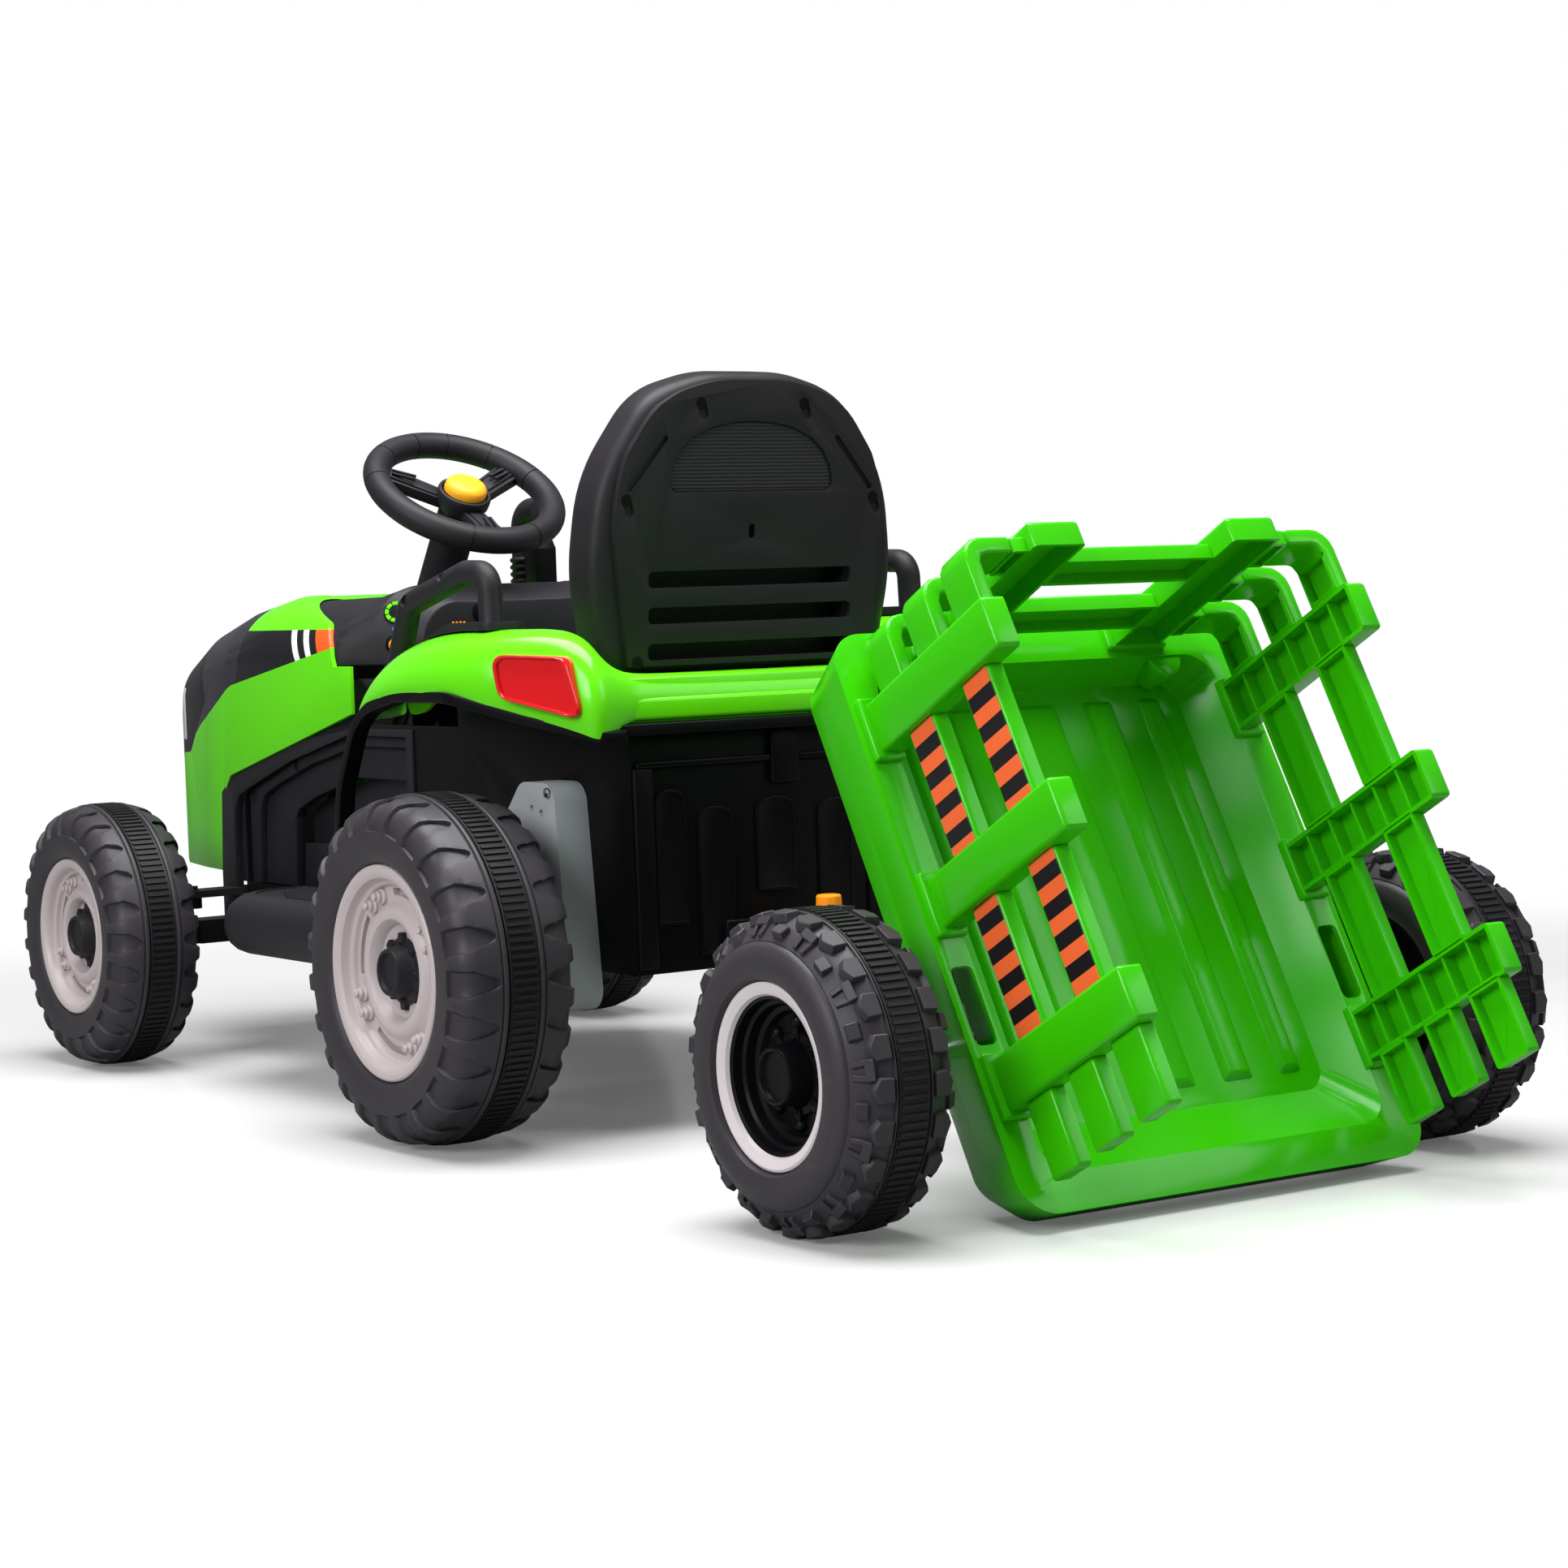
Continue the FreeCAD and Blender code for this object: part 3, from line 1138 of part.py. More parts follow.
def board_plan(inset):
    """Plan outline of the left foot board."""
    low = BODY_HALF + inset
    front = BOARD_FRONT - inset
    rear = BOARD_REAR + inset
    out = BOARD_OUT - inset
    return [(rear, low), (front, low), (front, out - BOARD_NOSE), (BOARD_FRONT - BOARD_NOSE, out),
            (BOARD_REAR + BOARD_TAIL, out), (rear, out - BOARD_TAIL)]


def footboards():
    """Two foot boards on the body's sides, hollow from below; the right one has the pedal's ears."""
    board = prism(board_plan(0), BOARD_CORNERS, "XY", BOARD_LOW, BOARD_TOP)
    inner = [max(corner - BOARD_WALL, corner * 2 / 3) for corner in BOARD_CORNERS]
    board = board.cut(prism(board_plan(BOARD_WALL), inner, "XY", BOARD_LOW - 1, BOARD_TOP - BOARD_WALL))
    pin_z = BOARD_TOP + PEDAL_PIN_R + PEDAL_LIFT
    right = mirrored(board)
    for side in (-1, 1):
        inner = PEDAL_Y + side * (PEDAL_W / 2 + PART_GAP)
        outer = inner + side * PEDAL_EAR_T
        ear = prism([(PEDAL_X - 8, BOARD_TOP - 1), (PEDAL_X + 8, BOARD_TOP - 1), (PEDAL_X + 6, pin_z + 6),
                     (PEDAL_X - 6, pin_z + 6)], 2, "XZ", min(inner, outer), max(inner, outer))
        ear = ear.cut(rod(PEDAL_PIN_R + RUN_GAP, V(PEDAL_X, PEDAL_Y - PEDAL_W, pin_z),
                          V(PEDAL_X, PEDAL_Y + PEDAL_W, pin_z)))
        right = right.fuse(ear)
    return Part.makeCompound([board, right.removeSplitter()])


def accelerator_pedal():
    """Sloping plate that turns on a pin between two ears."""
    pin_z = BOARD_TOP + PEDAL_PIN_R + PEDAL_LIFT
    half = PEDAL_W / 2
    reach = half + PART_GAP + PEDAL_EAR_T
    pin = rod(PEDAL_PIN_R, V(PEDAL_X, PEDAL_Y - reach, pin_z), V(PEDAL_X, PEDAL_Y + reach, pin_z))
    tip = PEDAL_X + PEDAL_L
    top = pin_z + PEDAL_RISE
    plate = prism([(PEDAL_X - 5, pin_z - 3), (PEDAL_X, pin_z - 4), (tip, top - PEDAL_T), (tip, top),
                   (PEDAL_X - 5, pin_z + 4)], 2, "XZ", PEDAL_Y - half, PEDAL_Y + half)
    return fused([pin, plate])


# Hitch and trailer

def tow_tongue():
    """Plate on the body's rear panel with the hole for the hitch pin."""
    plate = prism([(BODY_REAR, -20), (-HITCH_BACK, -TONGUE_PLATE_R), (-HITCH_BACK - TONGUE_PLATE_R, 0),
                   (-HITCH_BACK, TONGUE_PLATE_R), (BODY_REAR, 20)], [0, 4, 11, 4, 0], "XY",
                  TONGUE_PLATE_Z, TONGUE_PLATE_Z + TONGUE_PLATE_T)
    half = TONGUE_PLATE_T / 2
    foot = [(BODY_REAR, BODY_BOTTOM), (BODY_REAR, TONGUE_PLATE_Z), (BODY_REAR - TONGUE_WEB, TONGUE_PLATE_Z)]
    web = prism(foot, 0, "XZ", -half, half)
    hole = rod(PIN_R + RUN_GAP, V(-HITCH_BACK, 0, 0), V(-HITCH_BACK, 0, HIGH))
    return fused([plate, web]).cut(hole)


def hitch_pin():
    """Pull-out pin with a round knob on top of the drawbar's eye."""
    eye_top = TONGUE_PLATE_Z + TONGUE_PLATE_T + PART_GAP + EYE_T
    knob_low = eye_top + PART_GAP
    pin = rod(PIN_R, V(-HITCH_BACK, 0, TONGUE_PLATE_Z - 8), V(-HITCH_BACK, 0, knob_low + 2))
    knob = Part.makeCone(KNOB_R + 1, KNOB_R, KNOB_H, V(-HITCH_BACK, 0, knob_low), V(0, 0, 1))
    return fused([pin, knob])


def drawbar():
    """Bent tube from the hitch eye to a block on the trailer axle."""
    low = TRAILER_R - DRAW_DROP
    eye_low = TONGUE_PLATE_Z + TONGUE_PLATE_T + PART_GAP
    eye_mid = eye_low + EYE_T / 2
    tube = pipe([V(-TRAILER_AXLE_BACK, 0, low), V(DRAW_BEND_X, 0, low), V(DRAW_EYE_X, 0, eye_mid),
                 V(-HITCH_BACK - EYE_R + 2, 0, eye_mid)], [0, 22, 12, 0], DRAW_R)
    half = EYE_T / 2
    tip = block(DRAW_EYE_X - 2, -HITCH_BACK, -DRAW_R, DRAW_R, eye_mid - half, eye_mid + half)
    slab = block(DRAW_EYE_X - 2, 0, -60, 60, eye_mid + half, eye_mid + 60)
    under = block(DRAW_EYE_X - 2, 0, -60, 60, eye_mid - 60, eye_mid - half)
    eye = rod(EYE_R, V(-HITCH_BACK, 0, eye_low), V(-HITCH_BACK, 0, eye_low + EYE_T))
    axle = TRAILER_AXLE_BACK
    hub = rod(DRAW_BLOCK_R, V(-axle, -DRAW_BLOCK_HALF, TRAILER_R), V(-axle, DRAW_BLOCK_HALF, TRAILER_R))
    shape = fused([tube, tip, hub]).cut(slab).cut(under)
    shape = fused([shape, eye])
    shape = shape.cut(rod(PIN_R + RUN_GAP, V(-HITCH_BACK, 0, 0), V(-HITCH_BACK, 0, HIGH)))
    return shape.cut(rod(AXLE_R + RUN_GAP, V(-axle, -60, TRAILER_R), V(-axle, 60, TRAILER_R)))


def trailer_axle():
    """Steel rod that carries the trailer wheels, the drawbar and the tub."""
    reach = axle_reach(TRAILER_TRACK, TRAILER_W)
    x = -TRAILER_AXLE_BACK
    return rod(AXLE_R, V(x, -reach, TRAILER_R), V(x, reach, TRAILER_R))


# The tub and its fences, drawn level about the trailer axle and then tipped

def tipped(shape):
    """Turns a level piece of the tub to its tipped place on the trailer axle."""
    return tilted(shape, -TIP_ANGLE, -TRAILER_AXLE_BACK, TRAILER_R)


def tub_loft(levels, inset):
    """A tapered rounded box through several levels; each gives height, rear, front, half width and corner."""
    wires = []
    for level, rear, front, half, corner in levels:
        rear += inset
        front -= inset
        half -= inset
        points = [(rear, -half), (front, -half), (front, half), (rear, half)]
        wires.append(outline(points, corner - inset, "XY", level))
    return Part.makeLoft(wires, True, True)


def tub():
    """Double-walled tub: floor, sloping rear, rim with hand pockets, and skirts that turn on the axle."""
    foot = (TUB_SKIRT, TUB_BOTTOM_REAR, TUB_BOTTOM_FRONT, TUB_BOTTOM_HALF, TUB_CORNER - 6)
    middle = (TUB_MID, TUB_MID_REAR, TUB_MID_FRONT, TUB_MID_HALF, TUB_CORNER - 2)
    top = (TUB_REAR, TUB_FRONT, TUB_HALF, TUB_CORNER)
    width = TUB_RIM_WIDTH
    floor = (TUB_FLOOR_REAR, TUB_FLOOR_FRONT, TUB_FLOOR_HALF, FLOOR_CORNER)
    mouth = (TUB_REAR + width, TUB_FRONT - width - 1, TUB_HALF - width, MOUTH_CORNER)
    outer = tub_loft((foot, middle, (TUB_RIM,) + top), 0)
    cavity = tub_loft(((TUB_FLOOR,) + floor, (TUB_RIM,) + mouth), 0)
    lining = tub_loft(((TUB_FLOOR - TUB_WALL,) + floor, (TUB_RIM,) + mouth), -TUB_WALL)
    below = (TUB_SKIRT - 1,) + foot[1:]
    hollow = tub_loft((below, middle, (TUB_RIM - TUB_WALL,) + top), TUB_WALL).cut(lining)
    shell = outer.cut(hollow).cut(cavity)
    shell = shell.cut(block(TUB_FLOOR_FRONT, TUB_FRONT + 1, -NOTCH_HALF, NOTCH_HALF, TUB_SKIRT - 1, NOTCH_TOP))
    bosses = []
    for side in (-1, 1):
        near = side * (TUB_MID_HALF + 1)
        bosses.append(rod(TUB_BOSS_R, V(0, near, 0), V(0, near - side * TUB_BOSS_L, 0)))
        mid = side * POCKET_Y
        half_u = POCKET_LENGTH / 2
        half_y = POCKET_WIDTH / 2
        pocket = [(POCKET_U - half_u, mid - half_y), (POCKET_U + half_u, mid - half_y),
                  (POCKET_U + half_u, mid + half_y), (POCKET_U - half_u, mid + half_y)]
        shell = shell.cut(prism(pocket, POCKET_WIDTH / 3, "XY", TUB_RIM - POCKET_DEPTH, TUB_RIM + 1))
    shell = fused([shell] + bosses)
    return tipped(shell.cut(rod(AXLE_R + RUN_GAP, V(0, -WIDE, 0), V(0, WIDE, 0))))


def fence_bar(u0, u1, w0, w1, out):
    """Straight bar of the left fence: a channel that is open towards the inside."""
    wall = FENCE_WALL
    bar = block(u0, u1, FENCE_IN, out, w0, w1)
    return bar.cut(block(u0 + wall, u1 - wall, FENCE_IN - 1, out - wall, w0 + wall, w1 - wall))


def corner_bar(start, w0, w1):
    """Rail from the first post round the front corner to the seam with the front fence."""
    def band(inset, low, high):
        outer = RAIL_OUT - inset
        front = FENCE_FRONT - inset
        back = FENCE_FRONT - RAIL_DEPTH
        points = [(start, FENCE_IN), (back, FENCE_IN), (back, FENCE_SEAM), (front, FENCE_SEAM), (front, outer),
                  (start, outer)]
        radii = [0, FENCE_CORNER - RAIL_DEPTH, 0, 0, FENCE_CORNER - inset, 0]
        return prism(points, radii, "XY", low, high)
    bar = band(0, w0, w1)
    channel = band(FENCE_WALL, w0 + FENCE_WALL, w1 - FENCE_WALL)
    ends = block(start + FENCE_WALL, FENCE_FRONT, FENCE_SEAM + FENCE_WALL, RAIL_OUT, w0, w1)
    return bar.cut(channel.common(ends))


def post_edges(i):
    """Rear and front edge of the i-th post along the tub."""
    middle = POST_FIRST - i * POST_PITCH
    return middle - POST_LENGTH / 2, middle + POST_LENGTH / 2


def left_fence():
    """Side fence with three posts, two rails between posts and three rail stubs past them."""
    base = TUB_RIM
    pieces = []
    for i in range(3):
        rear, front = post_edges(i)
        pieces.append(fence_bar(rear, front, base, base + POST_HEIGHT, POST_OUT))
        if i < 2:
            following = post_edges(i + 1)[1]
            for low, high in SPAN_RAILS:
                pieces.append(fence_bar(following - 1, rear + 1, base + low, base + high, RAIL_OUT))
    for low, high in STUB_RAILS:
        pieces.append(corner_bar(post_edges(0)[1] - 1, base + low, base + high))
        pieces.append(fence_bar(FOOT_END, post_edges(2)[0] + 1, base + low, base + high, RAIL_OUT))
    return fused(pieces)


def front_fence():
    """Front fence with two posts, drawn across the tub."""
    back = FENCE_FRONT - RAIL_DEPTH
    base = TUB_RIM

    def bar(y0, y1, w0, w1, out):
        solid = block(back, out, y0, y1, w0, w1)
        wall = FENCE_WALL
        return solid.cut(block(back - 1, out - wall, y0 + wall, y1 - wall, w0 + wall, w1 - wall))
    pieces = []
    inner = FRONT_POST_Y - FRONT_POST_W / 2
    outer = FRONT_POST_Y + FRONT_POST_W / 2
    for low, high in SPAN_RAILS:
        pieces.append(bar(-inner - 1, inner + 1, base + low, base + high, FENCE_FRONT))
    for side in (-1, 1):
        edges = sorted((side * inner, side * outer))
        pieces.append(bar(edges[0], edges[1], base, base + POST_HEIGHT, FRONT_POST_OUT))
        stub = sorted((side * (outer - 1), side * FENCE_SEAM))
        for low, high in STUB_RAILS:
            pieces.append(bar(stub[0], stub[1], base + low, base + high, FENCE_FRONT))
    return fused(pieces)


# The whole toy

def all_parts():
    """Every node by name."""
    hood = hood_shell()
    nose = hood.common(nose_region())
    parts = {
        "body_shell": body_shell(),
        "bonnet": hood.cut(nose_region()),
        "nose_cap": nose.cut(lens_region()),
        "headlight_lenses": nose.common(lens_region()),
        "dashboard": dashboard(),
        "steering_column": steering_column(),
        "exhaust_stack": exhaust_stack(),
        "stack_post": stack_post(),
        "fender_body": fender_body(),
        "fender_trim": fender_trim(),
        "tail_lamps": tail_lamps(),
        "grab_handles": grab_handles(),
        "seat_shell": seat_shell(),
        "seat_back_panel": seat_back_panel(),
        "seat_screws": seat_screws(),
        "footboards": footboards(),
        "gearboxes": gearboxes(),
        "drive_motors": drive_motors(),
        "battery": battery(),
        "rear_axle": rear_axle(),
        "front_axle_beam": front_axle_beam(),
        "steering_shaft": steering_shaft(),
        "steering_wheel": steering_wheel(),
        "horn_button": horn_button(),
        "knuckle_left": knuckle(),
        "knuckle_right": mirrored(knuckle()),
        "tie_rod": tie_rod(),
        "start_button": start_button(),
        "accelerator_pedal": accelerator_pedal(),
        "hitch_pin": hitch_pin(),
        "drawbar": drawbar(),
        "trailer_axle": trailer_axle(),
        "tub": tub(),
        "fence_left": tipped(left_fence()),
        "fence_right": tipped(mirrored(left_fence())),
        "fence_front": tipped(front_fence())}
    rear = (REAR_R, REAR_W, REAR_RIM_R, 1.0)
    front = (FRONT_R, FRONT_W, FRONT_RIM_R, 1.0)
    trailer = (TRAILER_R, TRAILER_W, TRAILER_RIM_R, TRAILER_DOME)
    front_hub = FRONT_TRACK - FRONT_W / 2
    trailer_hub = TRAILER_TRACK - TRAILER_W / 2
    trailer_x = -TRAILER_AXLE_BACK
    for word, side in (("left", 1), ("right", -1)):
        add_wheel(parts, "rear_" + word, 0, REAR_TRACK, side, rear, AXLE_R, GEARBOX_OUT + PART_GAP)
        add_wheel(parts, "front_" + word, WHEELBASE, FRONT_TRACK, side, front, STUB_R, front_hub)
        add_wheel(parts, "trailer_" + word, trailer_x, TRAILER_TRACK, side, trailer, AXLE_R, trailer_hub)
    return parts


def main():
    """Builds every node, puts the origin under the middle of the toy and writes the files."""
    os.makedirs("parts", exist_ok=True)
    parts = all_parts()
    whole = FreeCAD.BoundBox()
    for shape in parts.values():
        whole.add(shape.optimalBoundingBox(False, False))
    shift = -(whole.XMin + whole.XMax) / 2
    for name, shape in parts.items():
        shape = moved(shape, shift, 0, 0)
        if not shape.isValid():
            print("not valid:", name)
        shape.exportStep("parts/" + name + ".step")
    print("nodes:", len(parts))
    print("rear axle from the origin:", round(shift, 4))
    size = [round(length, 2) for length in (whole.XLength, whole.YLength, whole.ZLength)]
    print("size:", size, "lowest", whole.ZMin)


main()
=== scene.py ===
import math

import bmesh
import bpy
from mathutils import Matrix, Vector


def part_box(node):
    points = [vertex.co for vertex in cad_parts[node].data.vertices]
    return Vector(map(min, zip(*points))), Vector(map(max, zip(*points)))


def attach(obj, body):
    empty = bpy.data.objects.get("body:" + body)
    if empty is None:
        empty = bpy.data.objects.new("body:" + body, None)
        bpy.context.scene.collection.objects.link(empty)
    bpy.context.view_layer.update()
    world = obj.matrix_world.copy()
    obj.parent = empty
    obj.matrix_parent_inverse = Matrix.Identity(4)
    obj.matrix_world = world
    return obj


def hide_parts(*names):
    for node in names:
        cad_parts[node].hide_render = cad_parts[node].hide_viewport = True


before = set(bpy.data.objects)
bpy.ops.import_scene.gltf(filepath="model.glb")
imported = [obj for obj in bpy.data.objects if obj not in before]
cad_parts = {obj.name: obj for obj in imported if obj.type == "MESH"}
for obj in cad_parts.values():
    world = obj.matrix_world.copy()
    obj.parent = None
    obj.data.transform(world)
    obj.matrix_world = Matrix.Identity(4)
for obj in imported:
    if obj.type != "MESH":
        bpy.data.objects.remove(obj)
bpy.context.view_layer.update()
REAR_AXLE_X = (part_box("rear_left_tyre")[0].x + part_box("rear_left_tyre")[1].x) / 2


def spot(x, y, z):
    """A place in metres from millimetres ahead of the rear axle, to the left, and up."""
    return Vector((REAR_AXLE_X + x / 1000, y / 1000, z / 1000))


# Camera, floor and light

PHOTO_WIDTH, PHOTO_FOCUS, SENSOR = 1932, 4236, 36
CAMERA_PLACE = spot(-2142.3, 1403.8, 385.6)
CAMERA_TURN, CAMERA_DIP, CAMERA_ROLL = (math.radians(angle) for angle in (34.35, 3.27, -1.91))
WHITE = (1, 1, 1, 1)
ROOM_LIGHT = 0.2  # of the white room, for all but the camera's own rays
FLOOR_FADE = (0.8, 1.7)  # metres from the middle over which the floor goes to white
FLOOR_LIT, FLOOR_SEEN, FLOOR_LIFT = 0.3, 0.74, 0.1  # tone in reflections, tone to the camera, and glow


def studio_camera():
    turn, dip, roll = CAMERA_TURN, CAMERA_DIP, CAMERA_ROLL
    ahead = Vector((math.cos(turn) * math.cos(dip), -math.sin(turn) * math.cos(dip), -math.sin(dip)))
    level = ahead.cross(Vector((0, 0, 1))).normalized()
    top = level.cross(ahead)
    right = level * math.cos(roll) + top * math.sin(roll)
    up = top * math.cos(roll) - level * math.sin(roll)
    bpy.ops.object.camera_add()
    camera = bpy.context.object
    camera.name = "studio_camera"
    camera.data.sensor_width = SENSOR
    camera.data.lens = SENSOR * PHOTO_FOCUS / PHOTO_WIDTH
    camera.data.clip_end = 50
    camera.matrix_world = Matrix((right, up, -ahead)).transposed().to_4x4()
    camera.location = CAMERA_PLACE
    bpy.context.scene.camera = camera


def soft_box(name, place, aim, width, height, watts):
    bpy.ops.object.light_add(type="AREA", location=place)
    lamp = bpy.context.object
    lamp.name = name
    lamp.data.shape = "RECTANGLE"
    lamp.data.size = width
    lamp.data.size_y = height
    lamp.data.energy = watts
    lamp.rotation_euler = (Vector(aim) - Vector(place)).to_track_quat("-Z", "Y").to_euler()


def shade(tree, kind, *values, settings=None, **named):
    """Adds a shader node; a value is set on its socket, and a socket is linked to it."""
    box = tree.nodes.new("ShaderNode" + kind)
    for key, value in (settings or {}).items():
        setattr(box, key, value)
    sockets = list(zip(box.inputs, values))
    sockets += [(box.inputs[key.replace("_", " ")], value) for key, value in named.items()]
    for socket, value in sockets:
        if isinstance(value, bpy.types.NodeSocket):
            tree.links.new(value, socket)
        else:
            socket.default_value = value
    return box


def calc(tree, operation, *values):
    """The result of a sum on values and sockets."""
    return shade(tree, "Math", *values, settings={"operation": operation}).outputs[0]


def own_place(tree):
    """The place on the piece that is being shaded."""
    return shade(tree, "TexCoord").outputs["Object"]


def shader_of(material):
    """The node tree of a material, and its main shader."""
    return material.node_tree, material.node_tree.nodes["Principled BSDF"]


def new_material(name):
    material = bpy.data.materials.new(name)
    material.use_nodes = True
    return material, *shader_of(material)


def paint(tree, shader, mask, colour):
    """Lays a colour over a material's own colour where a mask is 1."""
    under = shader.inputs["Base Color"].links[0].from_socket
    coat = shade(tree, "MixRGB", mask, under, colour)
    tree.links.new(coat.outputs[0], shader.inputs["Base Color"])


def emboss(tree, shader, height, strength):
    """Presses a fine pattern into a material in place of its grain."""
    bump = shade(tree, "Bump", Strength=strength, Distance=0.0006, Height=height)
    tree.links.new(bump.outputs[0], shader.inputs["Normal"])


def hue(red, green, blue):
    """A colour from the 0 to 255 values that a screen shows."""
    steps = [v / 255 for v in (red, green, blue)]
    return tuple(v / 12.92 if v < 0.04045 else ((v + 0.055) / 1.055) ** 2.4 for v in steps) + (1,)


def pale_floor():
    bpy.ops.object.select_all(action="DESELECT")
    bpy.ops.mesh.primitive_plane_add(size=30)
    floor = bpy.context.object
    floor.name = "studio_floor"
    material, tree, shader = new_material("pale_studio_floor")
    place = own_place(tree)
    haze = shade(tree, "TexNoise", place, Scale=2.5, Detail=3.0)
    gloss = shade(tree, "MapRange", haze.outputs["Fac"], 0.3, 0.7, 0.13, 0.2)
    tree.links.new(gloss.outputs[0], shader.inputs["Roughness"])
    reach = shade(tree, "VectorMath", place, settings={"operation": "LENGTH"})
    fade = shade(tree, "MapRange", reach.outputs["Value"], *FLOOR_FADE, settings={"interpolation_type": "SMOOTHSTEP"})
    seen = shade(tree, "LightPath").outputs["Is Camera Ray"]
    tone = shade(tree, "MapRange", seen, 0.0, 1.0, FLOOR_LIT, FLOOR_SEEN)
    tree.links.new(tone.outputs[0], shader.inputs["Base Color"])
    near_glow = shade(tree, "Emission", WHITE, calc(tree, "MULTIPLY", seen, FLOOR_LIFT))
    near = shade(tree, "AddShader", shader.outputs[0], near_glow.outputs[0])
    glow = shade(tree, "Emission", WHITE, 1.0)
    far = calc(tree, "MULTIPLY", seen, fade.outputs[0])
    blend = shade(tree, "MixShader", far, near.outputs[0], glow.outputs[0])
    tree.links.new(blend.outputs[0], tree.nodes["Material Output"].inputs["Surface"])
    floor.data.materials.append(material)


def white_room():
    world = bpy.data.worlds.new("white_room")
    bpy.context.scene.world = world
    world.use_nodes = True
    tree = world.node_tree
    ray = shade(tree, "LightPath").outputs
    seen = calc(tree, "MAXIMUM", ray["Is Camera Ray"], ray["Is Transmission Ray"])
    level = shade(tree, "MapRange", seen, 0.0, 1.0, ROOM_LIGHT, 1.0)
    tree.nodes["Background"].inputs["Color"].default_value = WHITE
    tree.links.new(level.outputs[0], tree.nodes["Background"].inputs["Strength"])


def studio():
    studio_camera()
    pale_floor()
    white_room()
    soft_box("top_light", (-0.1, 0.1, 2.4), (0, 0, 0.2), 2.2, 1.6, 124)
    soft_box("left_light", (-0.9, 2.6, 1.5), (0, 0, 0.25), 1.6, 1.2, 54)
    soft_box("right_light", (-2.4, -1.6, 1.7), (-0.3, 0, 0.25), 1.4, 1.2, 14)
    bpy.context.scene.view_settings.view_transform = "Standard"


# Finishes

def effect(name, inputs, outputs):
    """A shader node group with named sockets."""
    tree = bpy.data.node_groups.new(name, "ShaderNodeTree")
    for label, kind, value in inputs:
        tree.interface.new_socket(label, in_out="INPUT", socket_type=kind).default_value = value
    for label, kind in outputs:
        tree.interface.new_socket(label, in_out="OUTPUT", socket_type=kind)
    return tree, tree.nodes.new("NodeGroupInput").outputs, tree.nodes.new("NodeGroupOutput").inputs


def mould_grain():
    """The fine texture of a spark-eroded mould, as a height."""
    tree, given, out = effect("mould_grain", [("Scale", "NodeSocketFloat", 900.0)], [("Height", "NodeSocketFloat")])
    place = own_place(tree)
    dots = shade(tree, "TexVoronoi", place, Scale=given["Scale"])
    sand = shade(tree, "TexNoise", place, Scale=given["Scale"], Detail=2.0)
    tree.links.new(calc(tree, "ADD", dots.outputs["Distance"], sand.outputs["Fac"]), out["Height"])
    return tree


def handled_surface():
    """Slow shifts of tone, rubbed patches and fine scratches from handling."""
    tree, given, out = effect(
        "handled_surface",
        [("Colour", "NodeSocketColor", (0.5, 0.5, 0.5, 1)), ("Rubbed", "NodeSocketColor", (0.8, 0.8, 0.8, 1)),
         ("Amount", "NodeSocketFloat", 0.3), ("Gloss", "NodeSocketFloat", 0.4)],
        [("Colour", "NodeSocketColor"), ("Roughness", "NodeSocketFloat")])
    place = own_place(tree)
    cloud = shade(tree, "TexNoise", place, Scale=7.0, Detail=4.0, Roughness=0.55)
    patch = shade(tree, "MapRange", cloud.outputs["Fac"], 0.45, 0.75).outputs[0]
    fine = shade(tree, "Mapping", place, Rotation=(0.3, 0.5, 0.7), Scale=(12, 190, 30))
    hair = shade(tree, "TexNoise", fine.outputs[0], Scale=3.0, Detail=2.0)
    scratch = shade(tree, "MapRange", hair.outputs["Fac"], 0.66, 0.78).outputs[0]
    rub = calc(tree, "MULTIPLY", patch, scratch)
    soft = calc(tree, "MULTIPLY", patch, 0.22)
    marks = calc(tree, "MULTIPLY", calc(tree, "ADD", rub, soft), given["Amount"])
    tone = shade(tree, "MixRGB", marks, given["Colour"], given["Rubbed"])
    tree.links.new(tone.outputs[0], out["Colour"])
    rough = shade(tree, "MapRange", cloud.outputs["Fac"], 0.25, 0.75, -0.05, 0.07)
    tree.links.new(calc(tree, "ADD", rough.outputs[0], given["Gloss"]), out["Roughness"])
    return tree


def moulded_ripple():
    """The slight waviness of a large glossy moulding, as a height."""
    tree, given, out = effect("moulded_ripple", [("Scale", "NodeSocketFloat", 14.0)], [("Height", "NodeSocketFloat")])
    wave = shade(tree, "TexNoise", own_place(tree), Scale=given["Scale"], Detail=1.0)
    tree.links.new(wave.outputs["Fac"], out["Height"])
    return tree


GRAIN, HANDLED, RIPPLE = mould_grain(), handled_surface(), moulded_ripple()


def group(tree, effect_tree, **values):
    return shade(tree, "Group", settings={"node_tree": effect_tree}, **values).outputs


